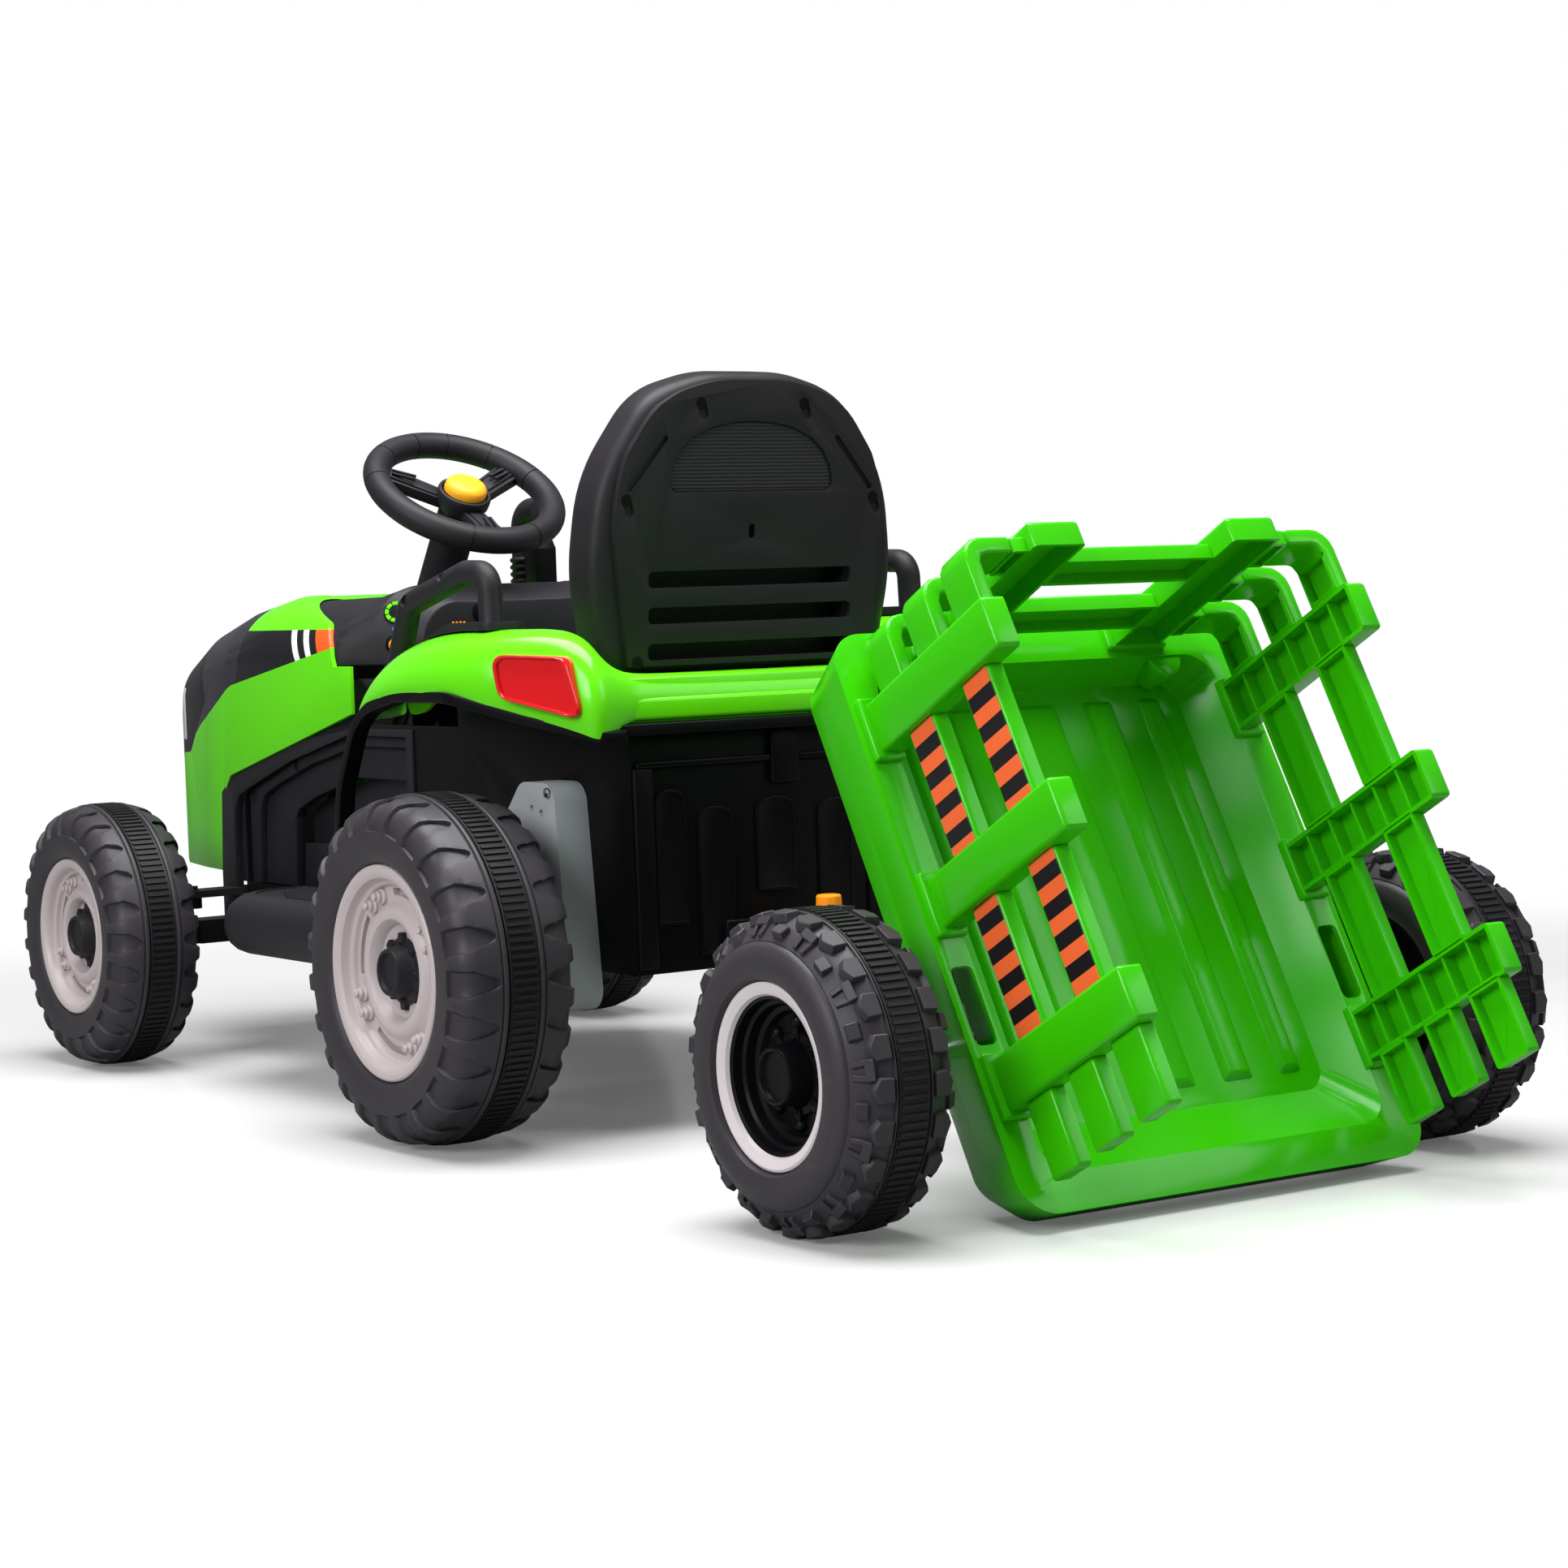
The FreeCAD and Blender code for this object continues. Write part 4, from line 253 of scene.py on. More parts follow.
def plastic(name, colour, rubbed, gloss, grain, depth, amount, ripple=0.0, coat=0.0, shine=0.24, metal=0.0):
    """A moulded plastic or rubber: handled colour and gloss, with mould grain or ripple as bump."""
    material, tree, shader = new_material(name)
    handled = group(tree, HANDLED, Colour=hue(*colour), Rubbed=hue(*rubbed), Amount=amount, Gloss=gloss)
    tree.links.new(handled["Colour"], shader.inputs["Base Color"])
    tree.links.new(handled["Roughness"], shader.inputs["Roughness"])
    bump = shade(tree, "Bump", Strength=depth, Distance=0.0004, Height=group(tree, GRAIN, Scale=grain)["Height"])
    if ripple:
        bump = shade(tree, "Bump", Strength=ripple, Distance=0.004, Normal=bump.outputs[0],
                     Height=group(tree, RIPPLE)["Height"])
    tree.links.new(bump.outputs[0], shader.inputs["Normal"])
    for key, value in (("Specular IOR Level", shine), ("Coat Weight", coat), ("Coat Roughness", 0.08),
                       ("Metallic", metal)):
        shader.inputs[key].default_value = value
    return material


finish = {
    "green": plastic("bright_green_plastic", (95, 214, 15), (150, 226, 100), 0.17, 700, 0.02, 0.1, 0.12, shine=0.34),
    "tub_green": plastic("tub_green_plastic", (54, 186, 4), (86, 204, 30), 0.18, 700, 0.03, 0.2, 0.14, shine=0.28),
    "black": plastic("grained_black_plastic", (31, 29, 34), (84, 82, 86), 0.5, 1500, 0.16, 0.2),
    "blue": plastic("blue_light", (30, 140, 235), (140, 200, 250), 0.2, 900, 0.02, 0.2, shine=0.4),
    "gloss_black": plastic("smooth_black_plastic", (10, 9, 12), (56, 54, 58), 0.34, 1200, 0.05, 0.08, shine=0.12),
    "seat": plastic("satin_seat_plastic", (33, 31, 35), (90, 88, 92), 0.42, 1800, 0.12, 0.16, shine=0.2),
    "nose": plastic("dark_nose_plastic", (34, 33, 37), (88, 86, 92), 0.34, 1300, 0.06, 0.16),
    "tyre": plastic("tyre_plastic_grey_black", (50, 47, 52), (108, 104, 106), 0.46, 1100, 0.12, 0.26, shine=0.3),
    "band": plastic("band_black_rubber", (26, 25, 28), (80, 78, 80), 0.5, 1300, 0.2, 0.26),
    "rim": plastic("warm_grey_rim", (186, 175, 176), (214, 206, 205), 0.34, 900, 0.04, 0.4, 0.1, shine=0.4),
    "pale_rim": plastic("pale_grey_ring", (208, 200, 203), (230, 224, 225), 0.34, 900, 0.04, 0.35, shine=0.4),
    "gearbox": plastic("blue_grey_housing", (174, 179, 183), (196, 204, 204), 0.42, 1100, 0.08, 0.3),
    "horn": plastic("horn_amber", (252, 172, 40), (255, 214, 120), 0.36, 900, 0.04, 0.25),
    "orange": plastic("orange_plastic_knob", (248, 146, 16), (252, 196, 96), 0.38, 900, 0.05, 0.25),
    "battery": plastic("battery_case", (40, 40, 44), (110, 110, 112), 0.55, 900, 0.1, 0.3),
    "steel": plastic("bright_steel", (190, 190, 192), (226, 226, 228), 0.3, 600, 0.05, 0.5, shine=0.5, metal=1.0),
    "frame": plastic("painted_frame_metal", (30, 30, 33), (120, 118, 116), 0.42, 700, 0.1, 0.3),
    "lens": plastic("clear_lamp_lens", (222, 226, 230), (240, 242, 245), 0.12, 500, 0.02, 0.2, 0.0, 0.8, shine=0.5),
    "dark_red": plastic("lamp_red_frame", (214, 20, 26), (240, 90, 92), 0.18, 900, 0.02, 0.12, 0.0, 0.6),
}

studio()


# Modelling by hand: every piece starts from a primitive and is shaped in edit mode.
# Whatever starts a piece or works on a whole one puts down the piece that is still open.

ORIGIN, UP, SPIN = Vector((0, 0, 0)), Vector((0, 0, 1)), Vector((0, 1, 0))
SAME = 1e-5  # places closer than this are one place


def put_down():
    """Leaves edit mode and lets go of everything."""
    if bpy.context.mode != "OBJECT":
        bpy.ops.object.mode_set(mode="OBJECT")
    bpy.ops.object.select_all(action="DESELECT")


def hold(*pieces):
    """Selects these pieces alone, the first of them active."""
    put_down()
    for piece in pieces:
        piece.select_set(True)
    bpy.context.view_layer.objects.active = pieces[0]


def select_all():
    bpy.ops.mesh.select_all(action="SELECT")


def open_up():
    """Opens the active piece with all of it selected."""
    bpy.ops.object.mode_set(mode="EDIT")
    bpy.ops.mesh.select_mode(type="VERT")
    select_all()


def reopen(piece):
    hold(piece)
    open_up()


def pick_up(name):
    """Names the primitive just added and opens it."""
    piece = bpy.context.object
    piece.name = name
    bpy.ops.object.transform_apply(location=True, rotation=True, scale=True)
    open_up()
    return piece


def pull(step):
    """Extrudes what is selected by a step."""
    bpy.ops.mesh.extrude_region_move(TRANSFORM_OT_translate={"value": Vector(step)})


def resize(sizes, middle):
    bpy.ops.transform.resize(value=sizes, center_override=middle)


def rotate(angle, middle, axis="Y"):
    bpy.ops.transform.rotate(value=angle, orient_axis=axis, center_override=middle)


def sweep(steps, angle, middle):
    """Pulls what is selected round a middle in steps."""
    for _ in range(steps):
        pull(ORIGIN)
        rotate(angle, middle)


def inset(width):
    bpy.ops.mesh.inset(thickness=width)


def block(name, low, high):
    """A cube stretched between two corners, open for shaping."""
    put_down()
    low, high = Vector(low), Vector(high)
    bpy.ops.mesh.primitive_cube_add(size=1, location=(low + high) / 2, scale=high - low)
    return pick_up(name)


def line(name, points, close=False):
    """A point pulled from place to place; closed, it gets a face."""
    put_down()
    bpy.ops.mesh.primitive_plane_add(size=0.002, location=points[0])
    piece = pick_up(name)
    bpy.ops.mesh.merge(type="CENTER")
    for here, there in zip(points, points[1:]):
        pull(there - here)
    select_all()
    if close:
        bpy.ops.mesh.edge_face_add()
    return piece


def prism(name, outline, step):
    """A flat outline pulled by a step to a solid shape."""
    piece = line(name, outline, close=True)
    pull(step)
    outward()
    return piece


def rounded(corners, radii, steps):
    """The outline of a flat shape with an arc at each corner."""
    outline = []
    for i, radius in enumerate(radii):
        corner = Vector(corners[i])
        before, after = Vector(corners[i - 1]) - corner, Vector(corners[(i + 1) % len(corners)]) - corner
        if not radius:
            outline.append(tuple(corner))
            continue
        half = before.angle(after) / 2
        most = 0.48 * min(before.length, after.length)  # so that two arcs on one side don't meet
        reach = min(radius / math.tan(half), most)
        first, last = corner + before.normalized() * reach, corner + after.normalized() * reach
        for k in range(steps + 1):
            share = k / steps
            outline.append(tuple(first * (1 - share) ** 2 + corner * 2 * share * (1 - share) + last * share ** 2))
    return outline


def net(name, rows):
    """A sheet: a line of points that is pulled from row to row, each point moved to its place."""
    sheet = line(name, rows[0])
    for before, after in zip(rows, rows[1:]):
        pull(UP)
        for here, there in zip(before, after):
            choose(lambda p: (p - here - UP).length < SAME, "VERT")
            bpy.ops.transform.translate(value=there - here - UP)
        choose(lambda a, b: all(min((end - place).length for place in after) < SAME for end in (a, b)), "EDGE")
    return sheet


def swelled(name, points, middle, way, halves, steps):
    """A soft-edged shape: an outline pulled in steps, each drawn in about the middle by a width in mm."""
    piece = line(name, points, close=True)
    last = 0
    for move, drawn in steps:
        if move:
            pull(Vector(way) * move / 1000)
        sizes = [(half - drawn) / (half - last) if half else 1 for half in halves]
        resize(sizes, middle)
        last = drawn
    outward()
    return piece


def choose(test, kind="FACE"):
    """Selects the faces, edges or points of the open piece that pass a test of place and normal."""
    bpy.ops.mesh.select_mode(type=kind)
    bpy.ops.mesh.select_all(action="DESELECT")
    shape = bmesh.from_edit_mesh(bpy.context.object.data)
    if kind == "FACE":
        for face in shape.faces:
            face.select_set(bool(test(face.calc_center_median(), face.normal)))
    elif kind == "EDGE":
        for edge in shape.edges:
            edge.select_set(bool(test(*(corner.co for corner in edge.verts))))
    else:
        for corner in shape.verts:
            corner.select_set(bool(test(corner.co)))
    shape.select_flush_mode()
    bmesh.update_edit_mesh(bpy.context.object.data)


def outward():
    """Turns the faces of one closed shape outwards."""
    bpy.ops.mesh.select_mode(type="VERT")
    select_all()
    bpy.ops.mesh.remove_doubles(threshold=SAME)
    bpy.ops.mesh.normals_make_consistent(inside=False)
    if bmesh.from_edit_mesh(bpy.context.object.data).calc_volume(signed=True) < 0:
        bpy.ops.mesh.flip_normals()


def mirror_in_place(middle):
    """Adds the mirror image of the open piece across a middle plane of the toy's width."""
    select_all()
    bpy.ops.mesh.duplicate()
    resize((1, -1, 1), middle)
    bpy.ops.mesh.flip_normals()
    select_all()


def round_edges(width, steps=2, sharp=30):
    """Bevels the edges of the open piece that turn by more than an angle."""
    bpy.ops.mesh.select_mode(type="EDGE")
    bpy.ops.mesh.select_all(action="DESELECT")
    bpy.ops.mesh.edges_select_sharp(sharpness=math.radians(sharp))
    bpy.ops.mesh.bevel(offset=width, segments=steps, affect="EDGES", clamp_overlap=True)
    select_all()


def repeat(count, centre, axis):
    """Copies the whole open piece round an axis."""
    select_all()
    bpy.ops.mesh.spin(steps=count - 1, dupli=True, angle=math.radians(360 * (count - 1) / count),
                      center=centre, axis=axis)
    select_all()


def turned(name, points, centre, axis, steps):
    """A turned piece: a line spun about an axis."""
    piece = line(name, points)
    bpy.ops.mesh.spin(steps=steps, angle=math.radians(360), center=centre, axis=axis)
    outward()
    return piece


def peg(name, x, z, sizes, steps, side=1):
    """A piece turned across the toy's width, drawn as (out, radius) about a place (along, up)."""
    return turned(name, [spot(x, side * out, z - radius) for out, radius in sizes], spot(x, 0, z), SPIN, steps)


def modify(piece, kind, **settings):
    """Adds a modifier to a piece and applies it."""
    hold(piece)
    tool = piece.modifiers.new(kind.lower(), kind)
    for key, value in settings.items():
        setattr(tool, key, value)
    bpy.ops.object.modifier_apply(modifier=tool.name)


def bevel(piece, width, steps, angle):
    """Rounds the edges of a whole piece that turn by more than an angle."""
    modify(piece, "BEVEL", width=width, segments=steps, limit_method="ANGLE", angle_limit=math.radians(angle))


def cut(piece, *cutters):
    """Takes other shapes away from a piece."""
    for cutter in cutters:
        modify(piece, "BOOLEAN", object=cutter, operation="DIFFERENCE", solver="EXACT")
        bpy.data.objects.remove(cutter)


def join(piece, *others):
    """Makes several shapes one piece."""
    hold(piece, *others)
    bpy.ops.object.join()
    return piece


def named(name, *pieces):
    """Makes several shapes one piece with a name."""
    whole = join(*pieces)
    whole.name = name
    return whole


def other_side(piece, name):
    """A copy of a piece on the other side of the tractor."""
    hold(piece)
    bpy.ops.object.duplicate(linked=False)
    twin = bpy.context.object
    twin.name = name
    bpy.ops.object.transform_apply(location=True, rotation=True, scale=True)
    reopen(twin)
    resize((1, -1, 1), ORIGIN)
    bpy.ops.mesh.flip_normals()
    put_down()
    return twin


def merged_copy(name, new_name):
    """A copy of a CAD node with its loose triangles merged into clean faces."""
    put_down()
    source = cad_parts[name]
    twin = bpy.data.objects.new(new_name, source.data.copy())
    bpy.context.collection.objects.link(twin)
    twin.data.materials.clear()
    reopen(twin)
    bpy.ops.mesh.remove_doubles(threshold=0.00002)
    bpy.ops.mesh.dissolve_limited(angle_limit=math.radians(1.0))
    put_down()
    return twin


def done(piece, look, body, *stands_for, slot, smooth=32):
    """Smooths a piece, gives it its finish, and lets it ride on a body in place of CAD nodes."""
    hold(piece)
    bpy.ops.object.shade_smooth_by_angle(angle=math.radians(smooth))
    piece.data.materials.clear()
    for coat in look if isinstance(look, tuple) else (look,):
        piece.data.materials.append(coat)
    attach(piece, body)
    if stands_for:
        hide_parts(*stands_for)
    put_down()
    return piece


def softened(name, look, body, width, slot, angle=38, cutters=()):
    """A copy of a CAD node with rounded edges, which stands for the node."""
    piece = merged_copy(name, name + "_moulding")
    cut(piece, *cutters)
    bevel(piece, width / 1000, 3, angle)
    return done(piece, finish[look], body, name, slot=slot)


# Wheels: the left one of each pair is modelled with its outside towards +Y, then copied to the right

class Wheel:
    """The sizes of one wheel pair, in millimetres, read from its CAD nodes."""

    def __init__(self, pair):
        low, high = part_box(pair + "_left_tyre")
        band_low, band_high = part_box(pair + "_left_traction_band")
        rim_low, rim_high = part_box(pair + "_left_rim")
        self.pair = pair
        self.centre = (low + high) / 2
        self.radius = (band_high.z - band_low.z) * 500
        self.half = (high.y - low.y) * 500
        self.bead = (rim_high.z - rim_low.z) * 500

    def at(self, radius, out, turn=90):
        """A place on the wheel: distance from the axle, distance outwards, and turn from straight ahead."""
        angle = math.radians(turn)
        return self.centre + Vector((radius * math.cos(angle), out, radius * math.sin(angle))) / 1000

    def profile(self, sizes):
        return [self.at(radius, out) for radius, out in sizes]

    def flank(self, foot, side, crown):
        """The outer half of a tyre's cross-section, in three runs: (above the bead, in from the sidewall),
        (below the crown, in from the sidewall) and (below the crown, out from the middle)."""
        return ([(self.bead + up, self.half - inward) for up, inward in foot]
                + [(self.radius - down, self.half - inward) for down, inward in side]
                + [(self.radius - down, out) for down, out in crown])


def both_flanks(sizes):
    """A closed cross-section from its outer half."""
    inner = [(radius, -out) for radius, out in reversed(sizes)]
    return sizes + inner + sizes[:1]


def offset_line(sizes, by):
    """A line of (radius, out) places moved away from the tyre's middle."""
    moved = []
    for k, (radius, out) in enumerate(sizes):
        before, after = sizes[max(k - 1, 0)], sizes[min(k + 1, len(sizes) - 1)]
        run = Vector((after[0] - before[0], after[1] - before[1])).normalized()
        moved.append((radius + run.y * by, out - run.x * by))
    return moved


def shoulder(wheel):
    """The outer half of a tractor tyre's cross-section, from the bead to the band's groove."""
    return wheel.flank(
        ((0, 6), (2.5, 3), (8, 0.9)),
        ((30, 0.2), (25, 0.02), (22, 0), (16.5, 0.9), (11.5, 3.2), (8, 6), (5.2, 10), (3.2, 16)),
        ((2.4, 21.5), (1.9, 18.6), (1.7, 17.4), (2.9, 17), (2.9, 16.2), (0.9, 15.6), (0.5, 14.6), (0.5, 13.4),
         (1, 12.6), (3, 12.2), (3, 11.4), (5, 11.2)))


def pocket_cutter(wheel):
    """The pointed pocket of one tread block, on both shoulders."""
    face = shoulder(wheel)[12:3:-1]
    depth, clear, width = 2.8, 4, 0.064 * wheel.radius
    floor, lid = offset_line(face, -depth), offset_line(face, clear)
    loop = [wheel.at(*p) - Vector((width, 0, 0)) / 1000 for p in floor + lid[::-1]]
    cutter = line("pocket_cutter", loop, close=True)
    pull((2 * width / 1000, 0, 0))

    def near(sizes):
        places = [wheel.at(*p) for p in sizes]
        return lambda p: any(abs(p.y - t.y) + abs(p.z - t.z) < 0.0001 for t in places)

    for sizes, share in (([floor[0], lid[0]], 0.12), ([floor[1], lid[1]], 0.62), (lid, 1.5)):
        choose(near(sizes), "VERT")
        resize((share, 1, 1), wheel.centre)
    outward()
    mirror_in_place(wheel.centre)
    return cutter


def tractor_tyre(wheel):
    """A blown tyre with a deep shoulder, a groove for the traction band, and pointed pockets."""
    pockets = 24
    pitch = math.radians(360 / pockets)
    tyre = line(wheel.pair + "_left_tyre_moulding", wheel.profile(both_flanks(shoulder(wheel))[:-1]), close=True)
    rotate(-pitch / 2, wheel.centre)
    sweep(4, pitch / 4, wheel.centre)
    outward()
    cut(tyre, pocket_cutter(wheel))
    reopen(tyre)

    def on_end(place, normal):
        run = Vector((math.cos(pitch / 2), 0, -math.sin(pitch / 2)))
        run.x *= 1 if place.x > wheel.centre.x else -1
        return normal.dot(run) > 0.9999

    choose(on_end)
    bpy.ops.mesh.delete(type="FACE")
    repeat(pockets, wheel.centre, SPIN)
    outward()
    bevel(tyre, 0.0007, 2, 38)
    return tyre


def ribbed_band(wheel, ribs):
    """The rubber band in the tread groove, with cross ribs."""
    top = wheel.radius
    sizes = [(top - 4.9, 10.9), (top - 1.8, 10.9), (top - 1.3, 10.4)]
    band = turned(wheel.pair + "_left_band_ribbed", wheel.profile(both_flanks(sizes)), wheel.centre, SPIN, ribs)
    pitch = 2 * math.pi * top / ribs / 1000
    low = wheel.at(top - 2.2, -9.8) - Vector((pitch * 0.31, 0, 0))
    high = wheel.at(top, 9.8) + Vector((pitch * 0.31, 0, 0))
    rib = block("band_rib", low, high)
    choose(lambda p, n: n.z > 0.9)
    resize((0.62, 0.97, 1), wheel.at(top, 0))
    choose(lambda p, n: n.z < -0.9)
    bpy.ops.mesh.delete(type="FACE")
    repeat(ribs, wheel.centre, SPIN)
    return join(band, rib)


DRAWN_BEAD = 77  # radius for which the rim below is drawn
RIM_SINK = 3.6  # from the tyre's side in to the rim's lip


def tractor_rim(wheel):
    """A pressed-looking rim: rounded lip, two steps, a flat for the bolts, a raised ring and a dish."""
    k, lip = wheel.bead / DRAWN_BEAD, wheel.half - RIM_SINK
    front = [(0.5, lip - 19.5)] + [(radius * k, lip - drop) for radius, drop in (
        (30, 19), (33, 17.5), (35, 12.5), (37.5, 9.5), (41, 8.4), (44.5, 9.3), (47, 11.5), (49.5, 13.8), (51, 14.2),
        (60.5, 14), (61.5, 12.5), (62, 10), (63.5, 9.2), (65, 8.8), (65.8, 6), (67, 2.6), (69.5, 0.7), (72.5, 0),
        (75.2, 0.1), (76.4, 1), (76.7, 3))]
    back = [(76.7 * k, 8 - wheel.half), (72 * k, 8 - wheel.half), (71 * k, lip - 24), (60 * k, lip - 25),
            (0.5, lip - 25), (0.5, lip - 19.5)]
    rim = turned(wheel.pair + "_left_rim_pressed", wheel.profile(front + back), wheel.centre, SPIN, 72)
    slot = line("rim_slot", wheel.profile([(54 * k, lip - 20), (59.2 * k, lip - 20), (59.2 * k, lip - 8),
                                           (54 * k, lip - 8)]), close=True)
    sweep(6, math.radians(7.5), wheel.centre)
    outward()
    rotate(math.radians(-5.5), wheel.centre)
    repeat(4, wheel.centre, SPIN)
    cut(rim, slot)
    bolts, flat, apart = [], 62, 7.8
    cone = [(5.6, 0), (5.6, 2.6), (5, 3.2), (4.3, 3.4), (4.2, 6), (3.7, 6.6), (3, 6.8), (2.9, 9), (2.2, 9.8), (0, 10)]
    for turn in (flat - apart, flat + apart):
        foot = wheel.at(55.5 * k, lip - 14.5, turn)
        bolt = turned("rim_bolt", [foot + Vector((0, rise * k, radius * k)) / 1000 for radius, rise in cone],
                      foot, SPIN, 14)
        repeat(4, wheel.centre, SPIN)
        bolts.append(bolt)
    join(rim, *bolts)
    bevel(rim, 0.0004, 1, 50)
    return rim


def hub_cap(wheel, tip, base, boss=17):
    """A black cap: a boss with a sunk face on a flange with eight lobes."""
    front = [(0.5, tip - 3.4), (boss - 4.2, tip - 3.2), (boss - 3, tip - 0.6), (boss - 2, tip), (boss - 0.8, tip - 0.5),
             (boss, tip - 2), (boss + 1.2, base + 6), (boss + 2.4, base + 4.2), (boss + 4, base + 3.6),
             (boss + 6.4, base + 3.4), (boss + 7, base + 2.8), (boss + 7, base), (0.5, base)]
    cap = turned(wheel.pair + "_left_cap_lobed", wheel.profile(front + front[:1]), wheel.centre, SPIN, 48)
    lobe = block("cap_lobe", wheel.at(boss + 2, base) - Vector((0.0045, 0, 0)),
                 wheel.at(boss + 10.5, base + 5) + Vector((0.0045, 0, 0)))
    choose(lambda p, n: n.z > 0.9)
    resize((0.72, 1, 1), wheel.centre)
    round_edges(0.0012, 2)
    repeat(8, wheel.centre, SPIN)
    stud = turned("cap_stud", [wheel.at(boss + 4.2, base + 3) + Vector((0, rise, radius)) / 1000
                               for radius, rise in ((1.8, 0), (1.8, 2.2), (1.2, 3), (0, 3.2))],
                  wheel.at(boss + 4.2, base), SPIN, 10)
    repeat(8, wheel.centre, SPIN)
    return join(cap, lobe, stud)


def trailer_tyre(wheel):
    """A smaller tyre: flat sidewall ring, forked lugs, square shoulder blocks and crown blocks."""
    top, half = wheel.radius, wheel.half
    outer = wheel.flank(
        ((0, 6), (2, 2.2), (6, 0.3)),
        ((27, 0), (21, 2.6), (18.4, 4.6), (17.8, 6.2), (17, 6.2), (13, 9.5), (9, 13), (6, 17), (4.2, 22)),
        ((3.2, 16), (3, 13.4), (1.4, 13), (1.2, 12.2), (3.6, 11.6), (5, 11.2)))
    tyre = turned("trailer_left_tyre_moulding", wheel.profile(both_flanks(outer)), wheel.centre, SPIN, 96)

    def lug(name, corners, floor, rise, count, start):
        """A raised block drawn as (across, below the crown, in from the sidewall), pulled out, and repeated."""
        points = [wheel.at(top - down, half - inward) + Vector((across / 1000, 0, 0))
                  for across, down, inward in corners]
        piece = line(name, points, close=True)
        pull(Vector((0, floor, rise)) / 1000)
        resize((0.86, 1, 1), wheel.centre)
        outward()
        round_edges(0.0005, 1)
        rotate(math.radians(start), wheel.centre)
        mirror_in_place(wheel.centre)
        repeat(count, wheel.centre, SPIN)
        return piece

    edge = half - 15
    crown = lug("crown_block", ((-8, 6, edge), (8, 6, edge), (8.5, 7, 17), (1, 8, 13), (-8.5, 7, 16)), 0, 6, 24, 0)
    square = lug("shoulder_block", ((-6, 13, 15), (6, 13, 15), (5.5, 17, 8.5), (-5.5, 17, 8.5)), 3.2, 6.4, 12, 7.5)
    forks = [lug("sidewall_fork", ((side * 2, 17, 8.5), (side * 6, 17, 8.5), (side * 7.4, 10.5, 14),
                                   (side * 3.4, 10.5, 14)), 2.6, 3, 12, 22.5) for side in (-1, 1)]
    bridge = lug("fork_bridge", ((-7.4, 11.5, 14), (7.4, 11.5, 14), (7.4, 7, 18), (-7.4, 7, 18)), 3.4, 4, 12, 22.5)
    return join(tyre, crown, square, bridge, *forks)


def trailer_rim(wheel):
    """A black stepped dish with dome bolts, and the light ring round it as its own shape."""
    lip = wheel.half - 4.4
    back = lip + wheel.half - 9

    def spun(name, sizes):
        """A piece of the rim drawn as (radius, in from the lip)."""
        return turned(name, [wheel.at(radius, lip - drop) for radius, drop in sizes], wheel.centre, SPIN, 72)

    dish = spun("trailer_left_dish", (
        (0.5, 24), (36, 24), (38, 20), (41, 18.6), (42.5, 13), (44.6, 11.6), (45.8, 6), (48.5, 4.4), (52, 3.4),
        (56.5, 6), (56.5, back), (52, back), (51, 28), (0.5, 28), (0.5, 24)))
    foot = wheel.at(31, lip - 24.5)
    bolt = turned("dish_bolt", [foot + Vector((0, rise, radius)) / 1000 for radius, rise in
                                ((4.6, 0), (4.6, 1.6), (3.9, 3.6), (2.2, 5), (0, 5.4))], foot, SPIN, 14)
    repeat(8, wheel.centre, SPIN)
    join(dish, bolt)
    ring = spun("trailer_left_light_ring", ((47.6, 5.2), (49, 2.4), (52.6, 0.6), (54.8, 0), (56.3, 0.8), (56.7, 2.6),
                                            (56.7, 7), (50, 7), (47.6, 5.2)))
    return dish, ring


def wheel_pair(wheel, pieces):
    """Gives the left wheel's pieces their finish and puts the same pieces on the right."""
    for piece, look, slot, part in pieces:
        for side in ("left", "right"):
            body = f"{wheel.pair}_{side}_wheel"
            stands_for = [f"{wheel.pair}_{side}_{part}"] if part else []
            thing = piece if side == "left" else other_side(piece, piece.name.replace("left", "right"))
            done(thing, finish[look], body, *stands_for, slot=slot)


def wheels():
    for pair, ribs in (("rear", 140), ("front", 124)):
        wheel = Wheel(pair)
        lip = wheel.half - RIM_SINK
        wheel_pair(wheel, [(tractor_tyre(wheel), "tyre", "tyre_plastic", "tyre"),
                           (ribbed_band(wheel, ribs), "band", "band_rubber", "traction_band"),
                           (tractor_rim(wheel), "rim", "rim_plastic", "rim"),
                           (hub_cap(wheel, lip - 4, lip - 20), "black", "black_plastic", "hub_cap")])
    wheel = Wheel("trailer")
    dish, ring = trailer_rim(wheel)
    wheel_pair(wheel, [(trailer_tyre(wheel), "tyre", "tyre_plastic", "tyre"),
                       (ribbed_band(wheel, 112), "band", "band_rubber", "traction_band"),
                       (dish, "gloss_black", "black_plastic", "rim"),
                       (ring, "pale_rim", "trailer_rim", None),
                       (hub_cap(wheel, wheel.half - 8, wheel.half - 29, 18), "gloss_black", "black_plastic",
                        "hub_cap")])


# Trailer: fences and tub are modelled level, then tipped about the trailer axle

TRAILER_AXLE = spot(-473, 0, 98)
TIPPED = math.radians(61.2)
RIM, POST_TOP = 42, 183
POSTS = ((184, 218), (63.5, 97.5), (-57, -23))
SPAN_RAILS = ((69, 98), (131, 161))
STUB_RAILS = ((56, 83), (101, 128), (146, 176))
BAND_PITCH = 0.0196  # metres from one hazard band to the next


def level(u, y, w):
    """A place on the level trailer: along it from the axle, to the left, and above the axle."""
    return TRAILER_AXLE + Vector((u, y, w)) / 1000


def tip(piece):
    reopen(piece)
    rotate(TIPPED, TRAILER_AXLE)
    put_down()
    return piece


